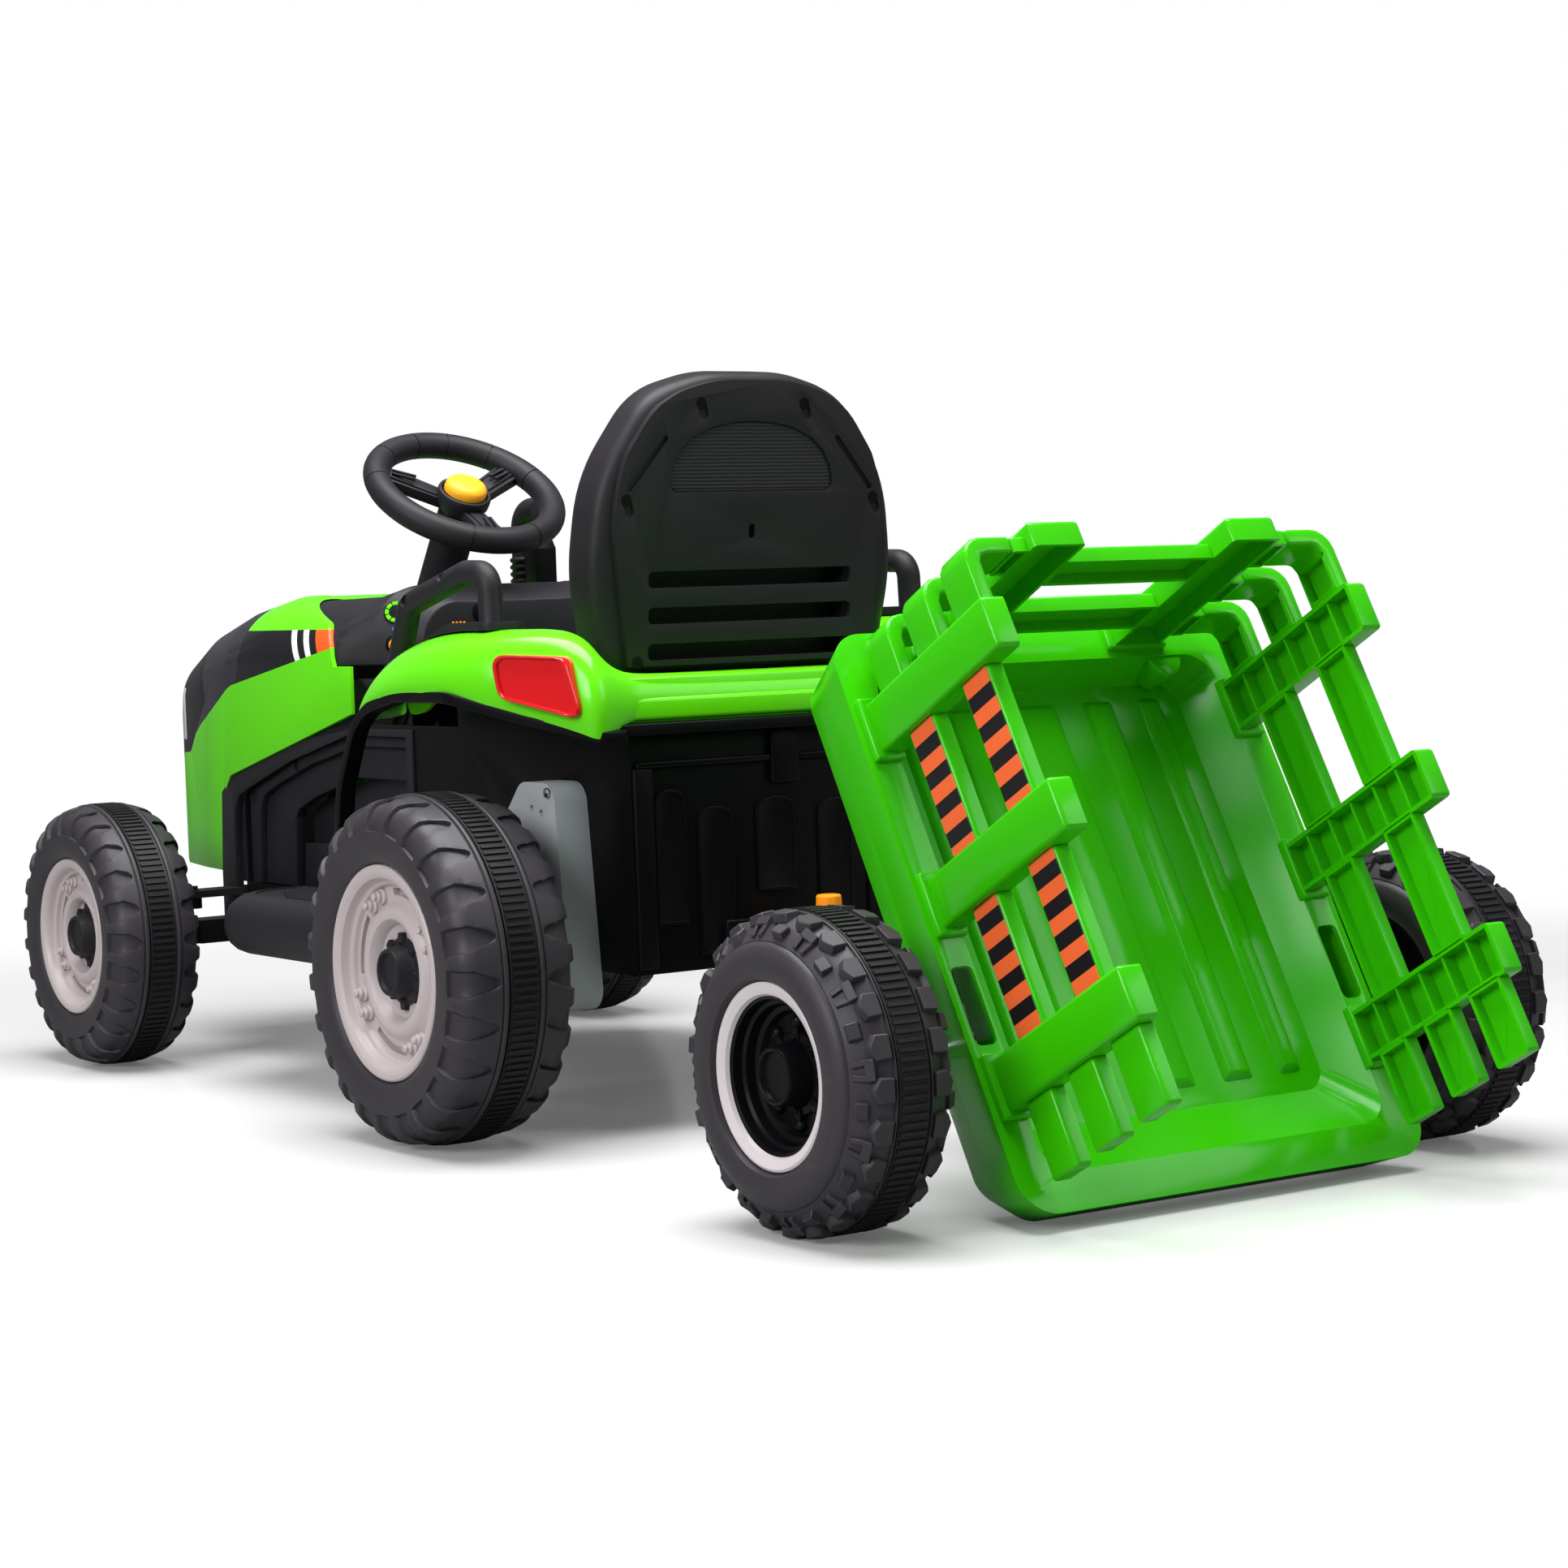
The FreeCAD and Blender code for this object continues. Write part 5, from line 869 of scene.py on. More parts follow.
def channel_bar(name, low, high, inside, edge=2.6, depth=7):
    """A rounded bar whose inner side is sunk to a channel."""
    bar = block(name, level(*low), level(*high))
    inside = Vector(inside)
    plane = max(inside.dot(level(*low)), inside.dot(level(*high)))
    choose(lambda a, b: min(inside.dot(a), inside.dot(b)) < plane - 0.001, "EDGE")
    bpy.ops.mesh.bevel(offset=edge / 1000, segments=3, affect="EDGES")
    choose(lambda p, n: n.dot(inside) > 0.95)
    inset(0.0028)
    pull(inside * -depth / 1000)
    return bar


def cells(name, u, y, w):
    """Thin cross walls inside a post."""
    walls = []
    for k in range(1, 6):
        at = w[0] + (w[1] - w[0]) * k / 6
        wall = block(name, level(u[0] + 2, y[0] + 1.4, at - 1.1), level(u[1] - 2, y[1] - 3, at + 1.1))
        bpy.ops.mesh.bevel(offset=0.0004, segments=1, affect="EDGES")
        walls.append(wall)
    return walls


def corner_rail(low, high):
    """A rail stub that runs round the front corner to the seam with the front fence."""
    plan = [(217, 139), (245, 139), (250, 136.5), (251, 132), (251, 112), (262, 112), (262, 135), (260.9, 140.7),
            (257.6, 145.6), (252.7, 148.9), (247, 150), (217, 150)]
    rail = prism("corner_rail", [level(u, y, low) for u, y in plan], UP * (high - low) / 1000)
    round_edges(0.0022, 3, 50)
    choose(lambda p, n: n.y < -0.95 and p.y > level(0, 130, 0).y)
    inset(0.0026)
    pull((0, 0.006, 0))
    return rail


def left_fence():
    inward = (0, -1, 0)
    bars = []
    for k, (rear, front) in enumerate(POSTS):
        bars.append(channel_bar("fence_post", (rear, 139, RIM), (front, 156, POST_TOP), inward, 3, 12))
        bars += cells("post_cell", (rear, front), (139, 156), (RIM, POST_TOP))
        if k < 2:
            for low, high in SPAN_RAILS:
                bars.append(channel_bar("fence_rail", (POSTS[k + 1][1] - 1, 139, low), (rear + 1, 150, high), inward))
    for low, high in STUB_RAILS:
        bars.append(corner_rail(low, high))
        bars.append(channel_bar("fence_stub", (-107, 139, low), (-56, 150, high), inward))
    return named("fence_left_slats", *bars)


def front_fence():
    inward = (-1, 0, 0)
    bars = []
    for low, high in SPAN_RAILS:
        bars.append(channel_bar("front_rail", (251, -61, low), (262, 61, high), inward))
    for side in (-1, 1):
        y = sorted((side * 60, side * 100))
        bars.append(channel_bar("front_post", (251, y[0], RIM), (268, y[1], POST_TOP), inward, 3, 12))
        stub = sorted((side * 99, side * 112))
        for low, high in STUB_RAILS:
            bars.append(channel_bar("front_stub", (251, stub[0], low), (262, stub[1], high), inward))
    return named("fence_front_slats", *bars)


def post_collars():
    """Raised lips on the tub's rim round the feet of the posts."""
    collars = []
    for side in (-1, 1):
        for rear, front in POSTS:
            y = sorted((side * 138, side * 160.5))
            collars.append(((rear - 4.5, y[0], RIM - 3), (front + 4.5, y[1], RIM + 5)))
        y = sorted((side * 55.5, side * 104.5))
        collars.append(((249, y[0], RIM - 3), (269, y[1], RIM + 5)))
    pieces = []
    for low, high in collars:
        collar = block("post_collar", level(*low), level(*high))
        choose(lambda p, n: n.z > 0.9)
        inset(0.002)
        round_edges(0.0018, 3)
        pieces.append(collar)
    return named("post_collars", *pieces)


def floor_ridges():
    """Long flat ridges pressed into the tub floor, and half-round lobes in its front corners."""
    ridges = []
    for y0, y1 in ((-71, -44), (-24, 24), (44, 71), (-112, -92), (92, 112)):
        ridge = block("floor_ridge", level(-48, y0, 11), level(228, y1, 15.5))
        choose(lambda p, n: n.z > 0.9)
        resize((0.96, 0.62, 1), level(95, (y0 + y1) / 2, 0))
        round_edges(0.0016, 3)
        ridges.append(ridge)
    turns = [math.radians(turn) for turn in range(0, 181, 15)]
    for side in (-1, 1):
        lobe = line("corner_lobe", [level(246 - 17 * math.sin(turn), side * 104 + 15 * math.cos(turn), 41)
                                    for turn in turns], close=True)
        pull((0, 0, -0.026))
        resize((0.86, 0.8, 1), level(246, side * 104, 15))
        outward()
        round_edges(0.003, 3, 40)
        ridges.append(lobe)
    return named("tub_floor_ridges", *ridges)


def hazard_strips():
    """Printed strips on the outer faces of the span rails."""
    strips = []
    for side in (-1, 1):
        for k in range(2):
            for low, high in SPAN_RAILS:
                y = sorted((side * 149.6, side * 150.35))
                strip = block("hazard_strip", level(POSTS[k + 1][1] + 0.5, y[0], low + 2.2),
                              level(POSTS[k][0] - 0.5, y[1], high - 2.2))
                bpy.ops.mesh.bevel(offset=0.0002, segments=1, affect="EDGES")
                strips.append(strip)
    return named("hazard_strips", *strips)


def hazard_finish():
    """Equal black and orange bands across the rails."""
    material = plastic("hazard_print", (240, 104, 52), (250, 160, 120), 0.32, 900, 0.03, 0.2)
    tree, shader = shader_of(material)
    along = shade(tree, "Mapping", own_place(tree), Rotation=(0, TIPPED, 0), Scale=(1 / BAND_PITCH,) * 3)
    part = calc(tree, "FRACT", shade(tree, "SeparateXYZ", along.outputs[0]).outputs["X"])
    paint(tree, shader, calc(tree, "GREATER_THAN", part, 0.5), hue(26, 24, 27))
    return material


def trailer():
    left = left_fence()
    for piece, nodes in ((left, ["fence_left"]), (other_side(left, "fence_right_slats"), ["fence_right"]),
                         (front_fence(), ["fence_front"]), (post_collars(), []), (floor_ridges(), [])):
        done(tip(piece), finish["tub_green"], "cargo_tub", *nodes, slot="green_plastic")
    done(tip(hazard_strips()), hazard_finish(), "cargo_tub", slot="orange_plastic")
    pockets = []
    for side in (-1, 1):
        mouth = rounded([(-12, 142), (40, 142), (40, 158.5), (-12, 158.5)], [5, 5, 5, 5], 4)
        pockets.append(tip(prism("rim_pocket", [level(u, side * y, 31.5) for u, y in mouth], UP * 0.02)))
    softened("tub", "tub_green", "cargo_tub", 2.6, "green_plastic", cutters=[join(*pockets)])
    softened("drawbar", "frame", "trailer", 0.8, "frame_metal")


# Tractor

SEAT_HINGE, SEAT_LEAN = spot(-40, 0, 326), math.radians(4.5)
PANEL_REAR = -50


def lean(piece):
    """Leans a piece of the backrest to the rear."""
    reopen(piece)
    rotate(SEAT_LEAN, SEAT_HINGE)
    put_down()
    return piece


def panel_shape(name, outline, start, depth):
    """A flat shape on the upright rear panel, drawn as (across, up) and pulled forward."""
    return prism(name, [spot(start, y, z) for y, z in outline], (depth / 1000, 0, 0))


def shrunk(outline, middle, across, up):
    """An outline of (across, up) places drawn in about a middle height."""
    return [(y * across, middle + (z - middle) * up) for y, z in outline]


def capsule(y0, z0, y1, z1, width):
    """A round-ended outline between two places on the panel."""
    run = Vector((y1 - y0, z1 - z0)).normalized()
    side = Vector((-run.y, run.x)) * width / 2
    points = []
    for (y, z), turn in (((y1, z1), 0), ((y0, z0), 180)):
        for step in range(0, 181, 45):
            angle = math.radians(turn + step)
            points.append((y - side.x * math.cos(angle) + run.x * math.sin(angle) * width / 2,
                           z - side.y * math.cos(angle) + run.y * math.sin(angle) * width / 2))
    return points


DOME = [(-66, 457.5), (-71, 461), (-71.5, 467), (-69, 476), (-63, 487), (-53, 496), (-37, 503.5), (-18, 507.5)]
DOME += [(0, 508.5)] + [(-y, z) for y, z in reversed(DOME)]
BACKREST = rounded([(-121, 327), (121, 327), (134.5, 398), (127, 468), (84, 530), (34, 544), (-34, 544), (-84, 530),
                    (-127, 468), (-134.5, 398)], [14, 14, 160, 120, 90, 120, 120, 90, 120, 160], 7)


def seat_back():
    """The cover behind the backrest: a sunk dome with a weave, slits, and screw wells."""
    cutters = [lean(panel_shape("dome_cutter", DOME, PANEL_REAR - 4, 6.4))]
    for side in (-1, 1):
        cutters.append(lean(panel_shape("slit_cutter", capsule(side * 105, 460, side * 75, 496, 4.6),
                                        PANEL_REAR - 4, 7)))
        for y, z in ((45, 521), (108, 452), (98, 337)):
            hole = capsule(side * y, z, side * y - 3, z - 8, 7.5)
            cutters.append(lean(panel_shape("screw_well", hole, PANEL_REAR - 4, 6.2)))
    cutters.append(lean(panel_shape("centre_hole", capsule(0, 426, 0, 431, 6), PANEL_REAR - 4, 9)))
    panel = merged_copy("seat_back_panel", "seat_back_panel_moulding")
    cut(panel, *cutters)
    edge = lean(panel_shape("panel_edge", shrunk(BACKREST, 435, 0.945, 0.945), PANEL_REAR - 6, 30))
    modify(panel, "BOOLEAN", object=edge, operation="INTERSECT", solver="EXACT")
    bpy.data.objects.remove(edge)
    bevel(panel, 0.0013, 3, 40)
    done(panel, finish["seat"], "tractor", "seat_back_panel", slot="seat_plastic")
    weave = panel_shape("dome_weave", shrunk(DOME, 481, 0.985, 0.975), PANEL_REAR + 1.7, 1.2)
    round_edges(0.0003, 1)
    done(lean(weave), woven_finish(), "tractor", slot="seat_plastic")


def seat_shell():
    """Seat: a backrest with a soft outline and a dished front, on a low dished base."""
    back = swelled("seat_shell_moulding", [spot(-45, y, z) for y, z in BACKREST], spot(0, 0, 435), (1, 0, 0),
                   (0, 134, 108), ((0, 11), (1, 7.5), (2, 4), (3, 1.6), (5, 0.2), (18, 0), (5, 0.8), (3, 3),
                                   (2.5, 6.5), (1.5, 12), (-2, 20), (-4, 32), (-3, 46)))
    slots = panel_shape("slot_room", [(-86, 336), (86, 336), (86, 424), (-86, 424)], -60, 34)
    cut(back, slots)
    lean(back)
    plan = rounded([(-14, -118), (148, -112), (148, 112), (-14, 118)], [10, 60, 60, 10], 8)
    base = swelled("seat_base", [spot(x, y, 326) for x, y in plan], spot(67, 0, 0), (0, 0, 1), (81, 118, 0),
                   ((0, 3), (3, 0.5), (5, 0), (6, 0.6), (4, 3), (3, 7), (1, 12), (-2, 22), (-4, 36), (-3, 54)))
    done(join(back, base), finish["seat"], "tractor", "seat_shell", slot="seat_plastic", smooth=40)


def woven_finish():
    """Fine chevron weave pressed into the seat's dome."""
    material = plastic("woven_black", (32, 31, 34), (70, 69, 73), 0.46, 1500, 0.05, 0.15)
    tree, shader = shader_of(material)
    place = own_place(tree)
    across = shade(tree, "Mapping", place, Rotation=(math.radians(45), 0, 0), Scale=(1, 330, 330))
    weave = shade(tree, "TexChecker", across.outputs[0], (0, 0, 0, 1), WHITE, 1.0)
    rows = shade(tree, "Mapping", place, Scale=(1, 60, 120))
    waves = shade(tree, "TexWave", rows.outputs[0], settings={"bands_direction": "Z"}, Scale=1.0, Distortion=1.0)
    emboss(tree, shader, calc(tree, "ADD", weave.outputs["Fac"], waves.outputs["Fac"]), 0.5)
    return material


STEER_MIDDLE, STEER_TILT = spot(366.7, 0, 473.3), math.radians(34)
STEER_RING, STEER_GRIP = 75, 11  # radius of the ring, and of its grip
SPOKES = (60, 180, 300)


def steering_place(piece):
    """Tilts a piece made round the origin and sets it on the steering column."""
    reopen(piece)
    rotate(STEER_TILT, ORIGIN)
    bpy.ops.transform.translate(value=STEER_MIDDLE)
    put_down()
    return piece


def upright(name, sizes, steps):
    """A piece turned about an upright axis at the origin, drawn as (radius, rise)."""
    return turned(name, [Vector((radius, 0, rise)) / 1000 for radius, rise in sizes], ORIGIN, UP, steps)


def steering_wheel():
    """Steering wheel: a round grip with grooves, three spokes with sunk faces, a hub, and the horn on it."""
    turns = [math.radians(15 * k) for k in range(25)]
    grip = upright("steering_grip", [(STEER_RING + STEER_GRIP * math.cos(turn), STEER_GRIP * math.sin(turn))
                                     for turn in turns], 96)
    grooves = []
    for turn in (60 - 17, 60 + 17, 180 - 22, 180 + 22, 300 - 17, 300 + 17, 0 - 12, 0 + 12):
        angle = math.radians(turn)
        out = Vector((math.cos(angle), math.sin(angle), 0))
        ahead = Vector((-math.sin(angle), math.cos(angle), 0))
        middle = out * STEER_RING / 1000
        places = [middle + (out * radius + ahead * across) / 1000 for radius, across in
                  ((10.2, -0.6), (13, -0.6), (13, 0.6), (10.2, 0.6), (10.2, -0.6))]
        grooves.append(turned("grip_groove", places, middle, ahead, 24))
    cut(grip, join(*grooves))
    parts = [grip]
    for turn in SPOKES:
        spoke = block("spoke", Vector((16, -11, -9)) / 1000, Vector((70, 11, 0)) / 1000)
        choose(lambda p, n: n.x < -0.9)
        resize((1, 0.8, 1), ORIGIN)
        choose(lambda p, n: n.z > 0.9)
        inset(0.0026)
        pull((0, 0, -0.0012))
        inset(0.0016)
        pull((0, 0, 0.002))
        round_edges(0.0007, 2)
        for across in (-2.6, 2.6):
            bpy.ops.mesh.primitive_cube_add(size=0.001, location=(0.052, across / 1000, 0.0012),
                                            scale=(20, 2.2, 2.2))
        select_all()
        rotate(math.radians(turn), ORIGIN, "Z")
        choose(lambda p: p.xy.length < 0.03, "VERT")
        bpy.ops.transform.translate(value=(0, 0, -0.007))
        parts.append(spoke)
    parts.append(upright("steering_hub", (
        (0.5, -18), (17, -18), (18.5, -16), (22, -9), (22.6, -4), (22.6, -1), (22, 0.6), (21, 1.2), (19.6, 0.8),
        (18.4, -5), (0.5, -5), (0.5, -18)), 48))
    wheel = named("steering_wheel_moulding", *parts)
    done(steering_place(wheel), finish["black"], "steering", "steering_wheel", slot="black_plastic")
    horn = upright("horn_dome", ((0, 10.6), (8, 10.4), (13, 9.6), (15.8, 8), (17.4, 5.4), (17.9, 2), (17.9, 0.4),
                                 (0, 0.4)), 48)
    done(steering_place(horn), finish["horn"], "horn", "horn_button", slot="horn_plastic")


GRID_PITCH = 2.2


def tail_lamps():
    """Red lamps: a rounded frame round a sunk panel with a fine grid."""
    along = Vector((-108, -63, 0)).normalized()
    out = Vector((along.y, -along.x, 0))
    foot = spot(-10, 235, 0)

    def on_corner(reach, z, proud):
        return foot + along * reach / 1000 + Vector((0, 0, z / 1000)) + out * proud / 1000

    outline = rounded([(43, 346), (103, 343), (116, 298), (49, 315)], [10, 10, 8, 11], 6)
    middle_reach, middle_z, panel_share = 77, 327, 0.86
    middle = on_corner(middle_reach, middle_z, 0)
    lamp = line("tail_lamp_left", [on_corner(reach, z, -5) for reach, z in outline], close=True)
    last = 1
    for step, share in ((11, 1), (1.6, 0.985), (0.9, 0.965), (0.3, 0.93), (-0.2, 0.9), (-1.2, 0.88), (-1.4, 0.865)):
        pull(out * step / 1000)
        resize((share / last,) * 3, middle + out * 0.004)
        last = share
    outward()
    panel = line("tail_lamp_panel_left", [
        on_corner(middle_reach + (reach - middle_reach) * panel_share, middle_z + (z - middle_z) * panel_share, 3.4)
        for reach, z in outline], close=True)
    for step, share in ((0.8, 1), (0.7, 0.96), (0.8, 0.86), (0.4, 0.7)):
        pull(out * step / 1000)
        resize((share,) * 3, middle + out * 0.002)
    outward()
    for side, rim, lens in (("left", lamp, panel), ("right", other_side(lamp, "tail_lamp_right"),
                                                    other_side(panel, "tail_lamp_panel_right"))):
        done(rim, finish["dark_red"], "tractor", *(["tail_lamps"] if side == "left" else []), slot="red_lens")
        done(lens, lamp_finish(side, along), "tractor", slot="red_lens")


def lamp_finish(side, along):
    """Clear red plastic with the fine square grid of a reflector, and a faint painted glow as painted light."""
    material = plastic("tail_lamp_red_" + side, (226, 22, 28), (255, 96, 92), 0.14, 900, 0.01, 0.2, 0.0, 0.7)
    tree, shader = shader_of(material)
    turn = math.atan2(along.y, along.x) * (1 if side == "left" else -1)
    flat = shade(tree, "Mapping", own_place(tree), Rotation=(0, 0, -turn), Scale=(1000, 1000, 1000))
    split = shade(tree, "SeparateXYZ", flat.outputs[0]).outputs
    lines = [calc(tree, "SINE", calc(tree, "MULTIPLY", split[key], 2 * math.pi / GRID_PITCH)) for key in ("X", "Z")]
    emboss(tree, shader, calc(tree, "MAXIMUM", *lines), 0.35)
    # Painted light: a faint red glow on the lens, which has no lamp of its own.
    shader.inputs["Emission Color"].default_value = hue(200, 10, 14)
    shader.inputs["Emission Strength"].default_value = 0.12
    return material


def rear_panels():
    """Pressed panels, ledges and a box on the rear of the body."""
    parts = []
    for y, half, low, high in ((104, 13, 150, 246), (66, 15, 126, 232), (14, 17, 168, 236), (-38, 15, 130, 232),
                               (-84, 17, 126, 240)):
        shape = [(y - half, low), (y + half, low), (y + half, high - 8)]
        shape += [(y + half * math.cos(turn), high - 8 + 8 * math.sin(turn))
                  for turn in map(math.radians, (30, 60, 90, 120, 150))]
        shape += [(y - half, high - 8)]
        panel = panel_shape("rear_panel", shape, -95.5, 2)
        bpy.ops.transform.translate(value=(-0.0018, 0, 0))
        choose(lambda p, n: n.x < -0.9)
        inset(0.0022)
        pull((0.0012, 0, 0))
        round_edges(0.0005, 2)
        parts.append(panel)
    for low, high in (((-100, 18, 262), (-94, 132, 267)), ((-100, -132, 262), (-94, -6, 267)),
                      ((-101, -6, 246), (-94, 18, 284)), ((-102, 30, 118), (-94, 62, 150)),
                      ((-99, -134, 120), (-94, -112, 262)), ((-99, 118, 120), (-94, 134, 262))):
        bar = block("rear_ledge", spot(*low), spot(*high))
        round_edges(0.0016, 3)
        parts.append(bar)
    done(named("rear_body_panels", *parts), finish["gloss_black"], "tractor", slot="black_plastic")


BOARD_TOP = 0.1532  # of the foot boards in the solids; the pedal's ears stand above it


def foot_boards():
    """Foot boards with a rolled edge, hollow from below, with raised tread lines."""
    outline = rounded([(150, 135), (440, 135), (440, 184), (402, 222), (172, 222), (150, 200)],
                      [0, 4, 52, 52, 24, 24], 8)
    board = swelled("foot_board_left", [spot(x, y, 106) for x, y in outline], spot(295, 135, 0), UP, (145, 87, 0),
                    ((0, 14), (3, 8), (5, 3.5), (8, 0.5), (7, 0), (8, 1), (7, 4), (5, 9), (3, 14), (1, 19)))
    choose(lambda p, n: n.z < -0.99)
    inset(0.003)
    pull((0, 0, 0.03))
    choose(lambda p, n: n.z > 0.999 and p.z > BOARD_TOP - 0.0003)
    inset(0.004)
    pull((0, 0, -0.001))
    for k in range(7):
        y, rear = 143 + 8.2 * k, 176 + 2 * k
        reach = 409 - 0.024 * (y - 138) ** 2
        bar = block("board_tread", spot(rear, y - 1.7, 151), spot(reach, y + 1.7, 154.2))
        choose(lambda p, n: n.z > 0.9)
        resize((0.985, 0.45, 1), spot((rear + reach) / 2, y, 154))
        round_edges(0.0004, 2)
        board = join(board, bar)
    right = other_side(board, "foot_board_right")
    ears = merged_copy("footboards", "pedal_ears")
    reopen(ears)
    bpy.ops.mesh.bisect(plane_co=(0, 0, BOARD_TOP), plane_no=-UP, clear_outer=True, use_fill=True)
    right = join(right, ears)
    done(board, finish["black"], "tractor", "footboards", slot="black_plastic")
    done(right, finish["black"], "tractor", slot="black_plastic")


def side_shape(name, outline, start, end):
    """A flat shape drawn on the body's side as (along, up), between two distances from the middle."""
    return prism(name, [spot(x, start, z) for x, z in outline], (0, (end - start) / 1000, 0))


EDGE_OUT = [(574, 118), (574, 156), (569, 226), (551, 239), (432, 271), (325, 284), (222, 285), (222, 150), (432, 150),
            (442, 118)]
EDGE_TOP = [(549, 150), (544, 213), (536, 224), (517, 231), (434, 256), (330, 279), (232, 279), (232, 150)]
EDGE_MID = [(513, 150), (507, 215), (500, 225), (474, 235), (412, 253), (330, 270), (240, 270), (240, 150)]
EDGE_LOW = [(457, 150), (452, 208), (446, 215), (415, 226), (340, 244), (248, 244), (248, 150)]


def body_sides():
    """Stepped frames round an alcove in each side of the body, with two screw wells."""
    def ring(outer, inner, start, end):
        plate = side_shape("side_ring", outer, start, end)
        cut(plate, side_shape("side_opening", [(x, z if z > 150 else 140) for x, z in inner], start - 2, end + 2))
        return plate

    first = ring(EDGE_OUT, EDGE_TOP, 129, 136.6)
    wells = [peg("side_well", x, z, ((127, 0), (127, 4.6), (139, 4.6), (139, 0)), 16)
             for x, z in ((437, 251), (521, 224))]
    second = ring(EDGE_TOP, EDGE_MID, 123, 130)
    cut(second, *wells)
    frame_left = join(first, second, ring(EDGE_MID, EDGE_LOW, 116, 124.5),
                      side_shape("alcove_floor", EDGE_LOW, 104, 108), side_shape("alcove_shelf", [
                          (456, 150), (452, 186), (250, 190), (250, 150)], 106, 117))
    bevel(frame_left, 0.0014, 2, 40)
    frame_left.name = "side_frame_left"
    for piece in (frame_left, other_side(frame_left, "side_frame_right")):
        done(piece, finish["black"], "tractor", slot="black_plastic")
    openings = [side_shape("body_opening", [(min(x, 527), z) for x, z in EDGE_TOP], 124, 140)]
    openings.append(other_side(openings[0], "body_opening_right"))
    softened("body_shell", "gloss_black", "tractor", 1.5, "black_plastic", cutters=openings)


# The rear deck from its middle, then the left mudguard from its rear round to its front. Each row has the places
# of the lower edge, the side, the shoulder, the crown, the inner edge and the foot of the inner wall.
FENDER = [
    ((-106, 0, 295), (-108, 0, 303), (-107.5, 0, 314), (-102, 0, 328), (-80, 0, 327.5), (-56, 0, 327.2)),
    ((-106, 100, 296), (-108, 100, 303), (-107.5, 100, 315), (-102, 100, 329), (-80, 100, 327.5), (-56, 100, 327.2)),
    ((-106.5, 132, 298), (-108.5, 132, 304), (-108, 132, 316), (-102.5, 131, 330), (-84, 127, 328), (-60, 124, 327.2)),
    ((-110, 147, 295), (-112, 147, 303), (-110.5, 146, 317), (-103, 143, 333), (-86, 138, 330), (-68, 136, 327.2)),
    ((-114.5, 159, 288), (-117, 159, 301), (-115, 158, 319), (-104, 153, 337), (-85, 144, 335), (-76, 142, 326)),
    ((-118, 173, 284), (-121, 174, 303), (-118, 171, 325), (-104, 163, 344), (-84, 149, 343), (-84, 147, 323)),
    ((-111, 180, 289), (-112, 182, 305), (-108, 179, 337), (-93, 171, 357), (-72, 149, 355), (-72, 147, 323)),
    ((-86, 190, 296), (-87, 190, 309), (-84, 187, 349), (-68, 179, 363), (-56, 149, 362), (-56, 147, 323)),
    ((-53, 210, 307), (-54, 211, 318), (-51, 208, 352), (-38, 193, 364), (-38, 149, 362), (-38, 147, 323)),
    ((-18, 230, 317), (-19, 233, 325), (-17, 228, 351), (-10, 201, 364), (-10, 149, 362), (-10, 147, 323)),
    ((24, 235, 320), (24, 236, 327), (24, 230, 350), (22, 203, 364), (22, 149, 362), (22, 147, 323)),
    ((70, 235, 319), (70, 236, 325), (69, 229, 345), (66, 203, 361), (60, 149, 362), (60, 147, 323)),
    ((108, 233, 311), (109, 234, 316), (107, 227, 333), (104, 201, 352), (100, 149, 357), (100, 147, 323)),
    ((138, 228, 296), (141, 228, 300), (143, 219, 315), (142, 195, 341), (140, 149, 350), (140, 147, 322)),
    ((168, 203, 296), (170, 203, 301), (169, 196, 314), (164, 179, 334), (168, 149, 341), (168, 147, 300)),
    ((196, 176, 296), (198, 176, 301), (196, 172, 313), (186, 164, 327), (188, 149, 332), (188, 147, 298)),
    ((211, 149, 296), (212, 149, 302), (211, 149, 311), (206, 149, 319), (200, 149, 323), (200, 147, 298)),
]


DECK_HALF = 0.1455  # where the deck's own solid ends and the sheets take over


def fenders():
    """Mudguards as two curved sheets, black inside as painted shade of the wheel arches, joined to the deck between
    them.
    """
    rows = [[spot(*station[k]) for station in FENDER] for k in range(6)]
    sheet = net("fender_left", rows)
    select_all()
    bpy.ops.mesh.normals_make_consistent(inside=False)
    put_down()
    if max(sheet.data.polygons, key=lambda face: face.center.z).normal.z < 0:
        reopen(sheet)
        bpy.ops.mesh.flip_normals()
        put_down()
    modify(sheet, "SUBSURF", levels=3, render_levels=3)
    # The inner shell of each sheet takes the second material, black plastic, as painted shade under the mudguard.
    modify(sheet, "SOLIDIFY", thickness=0.0034, offset=-1, material_offset=1, material_offset_rim=0)
    deck = merged_copy("fender_body", "fender_body_moulding")
    reopen(deck)
    for side in (-1, 1):
        select_all()
        bpy.ops.mesh.bisect(plane_co=SPIN * side * DECK_HALF, plane_no=SPIN * side, clear_outer=True, use_fill=True)
    bevel(deck, 0.0015, 2, 40)
    # The deck's downward faces and its cut ends also take the black plastic, as painted shade.
    for face in deck.data.polygons:
        face.material_index = int(face.normal.z < -0.3 or abs(face.center.y) > DECK_HALF - 0.0003)
    whole = join(deck, sheet, other_side(sheet, "fender_right"))
    done(whole, (finish["green"], finish["gloss_black"]), "tractor", "fender_body", slot="green_plastic", smooth=45)


def deck_step():
    """The proud lower face of the rear deck, under its step line."""
    step = block("deck_lower_face", spot(-109.2, -140, 296), spot(-100, 140, 312))
    round_edges(0.003, 4)
    done(step, finish["green"], "tractor", slot="green_plastic")


def grab_handles():
    """Grab handles with a screw well in each foot."""
    wells = [peg("handle_well", x, z, ((191.5, 0), (191.5, 4.6), (200, 4.6), (200, 0)), 20, side)
             for x, z in ((62, 403), (118, 385)) for side in (-1, 1)]
    softened("grab_handles", "black", "tractor", 1.2, "black_plastic", 40, [join(*wells)])


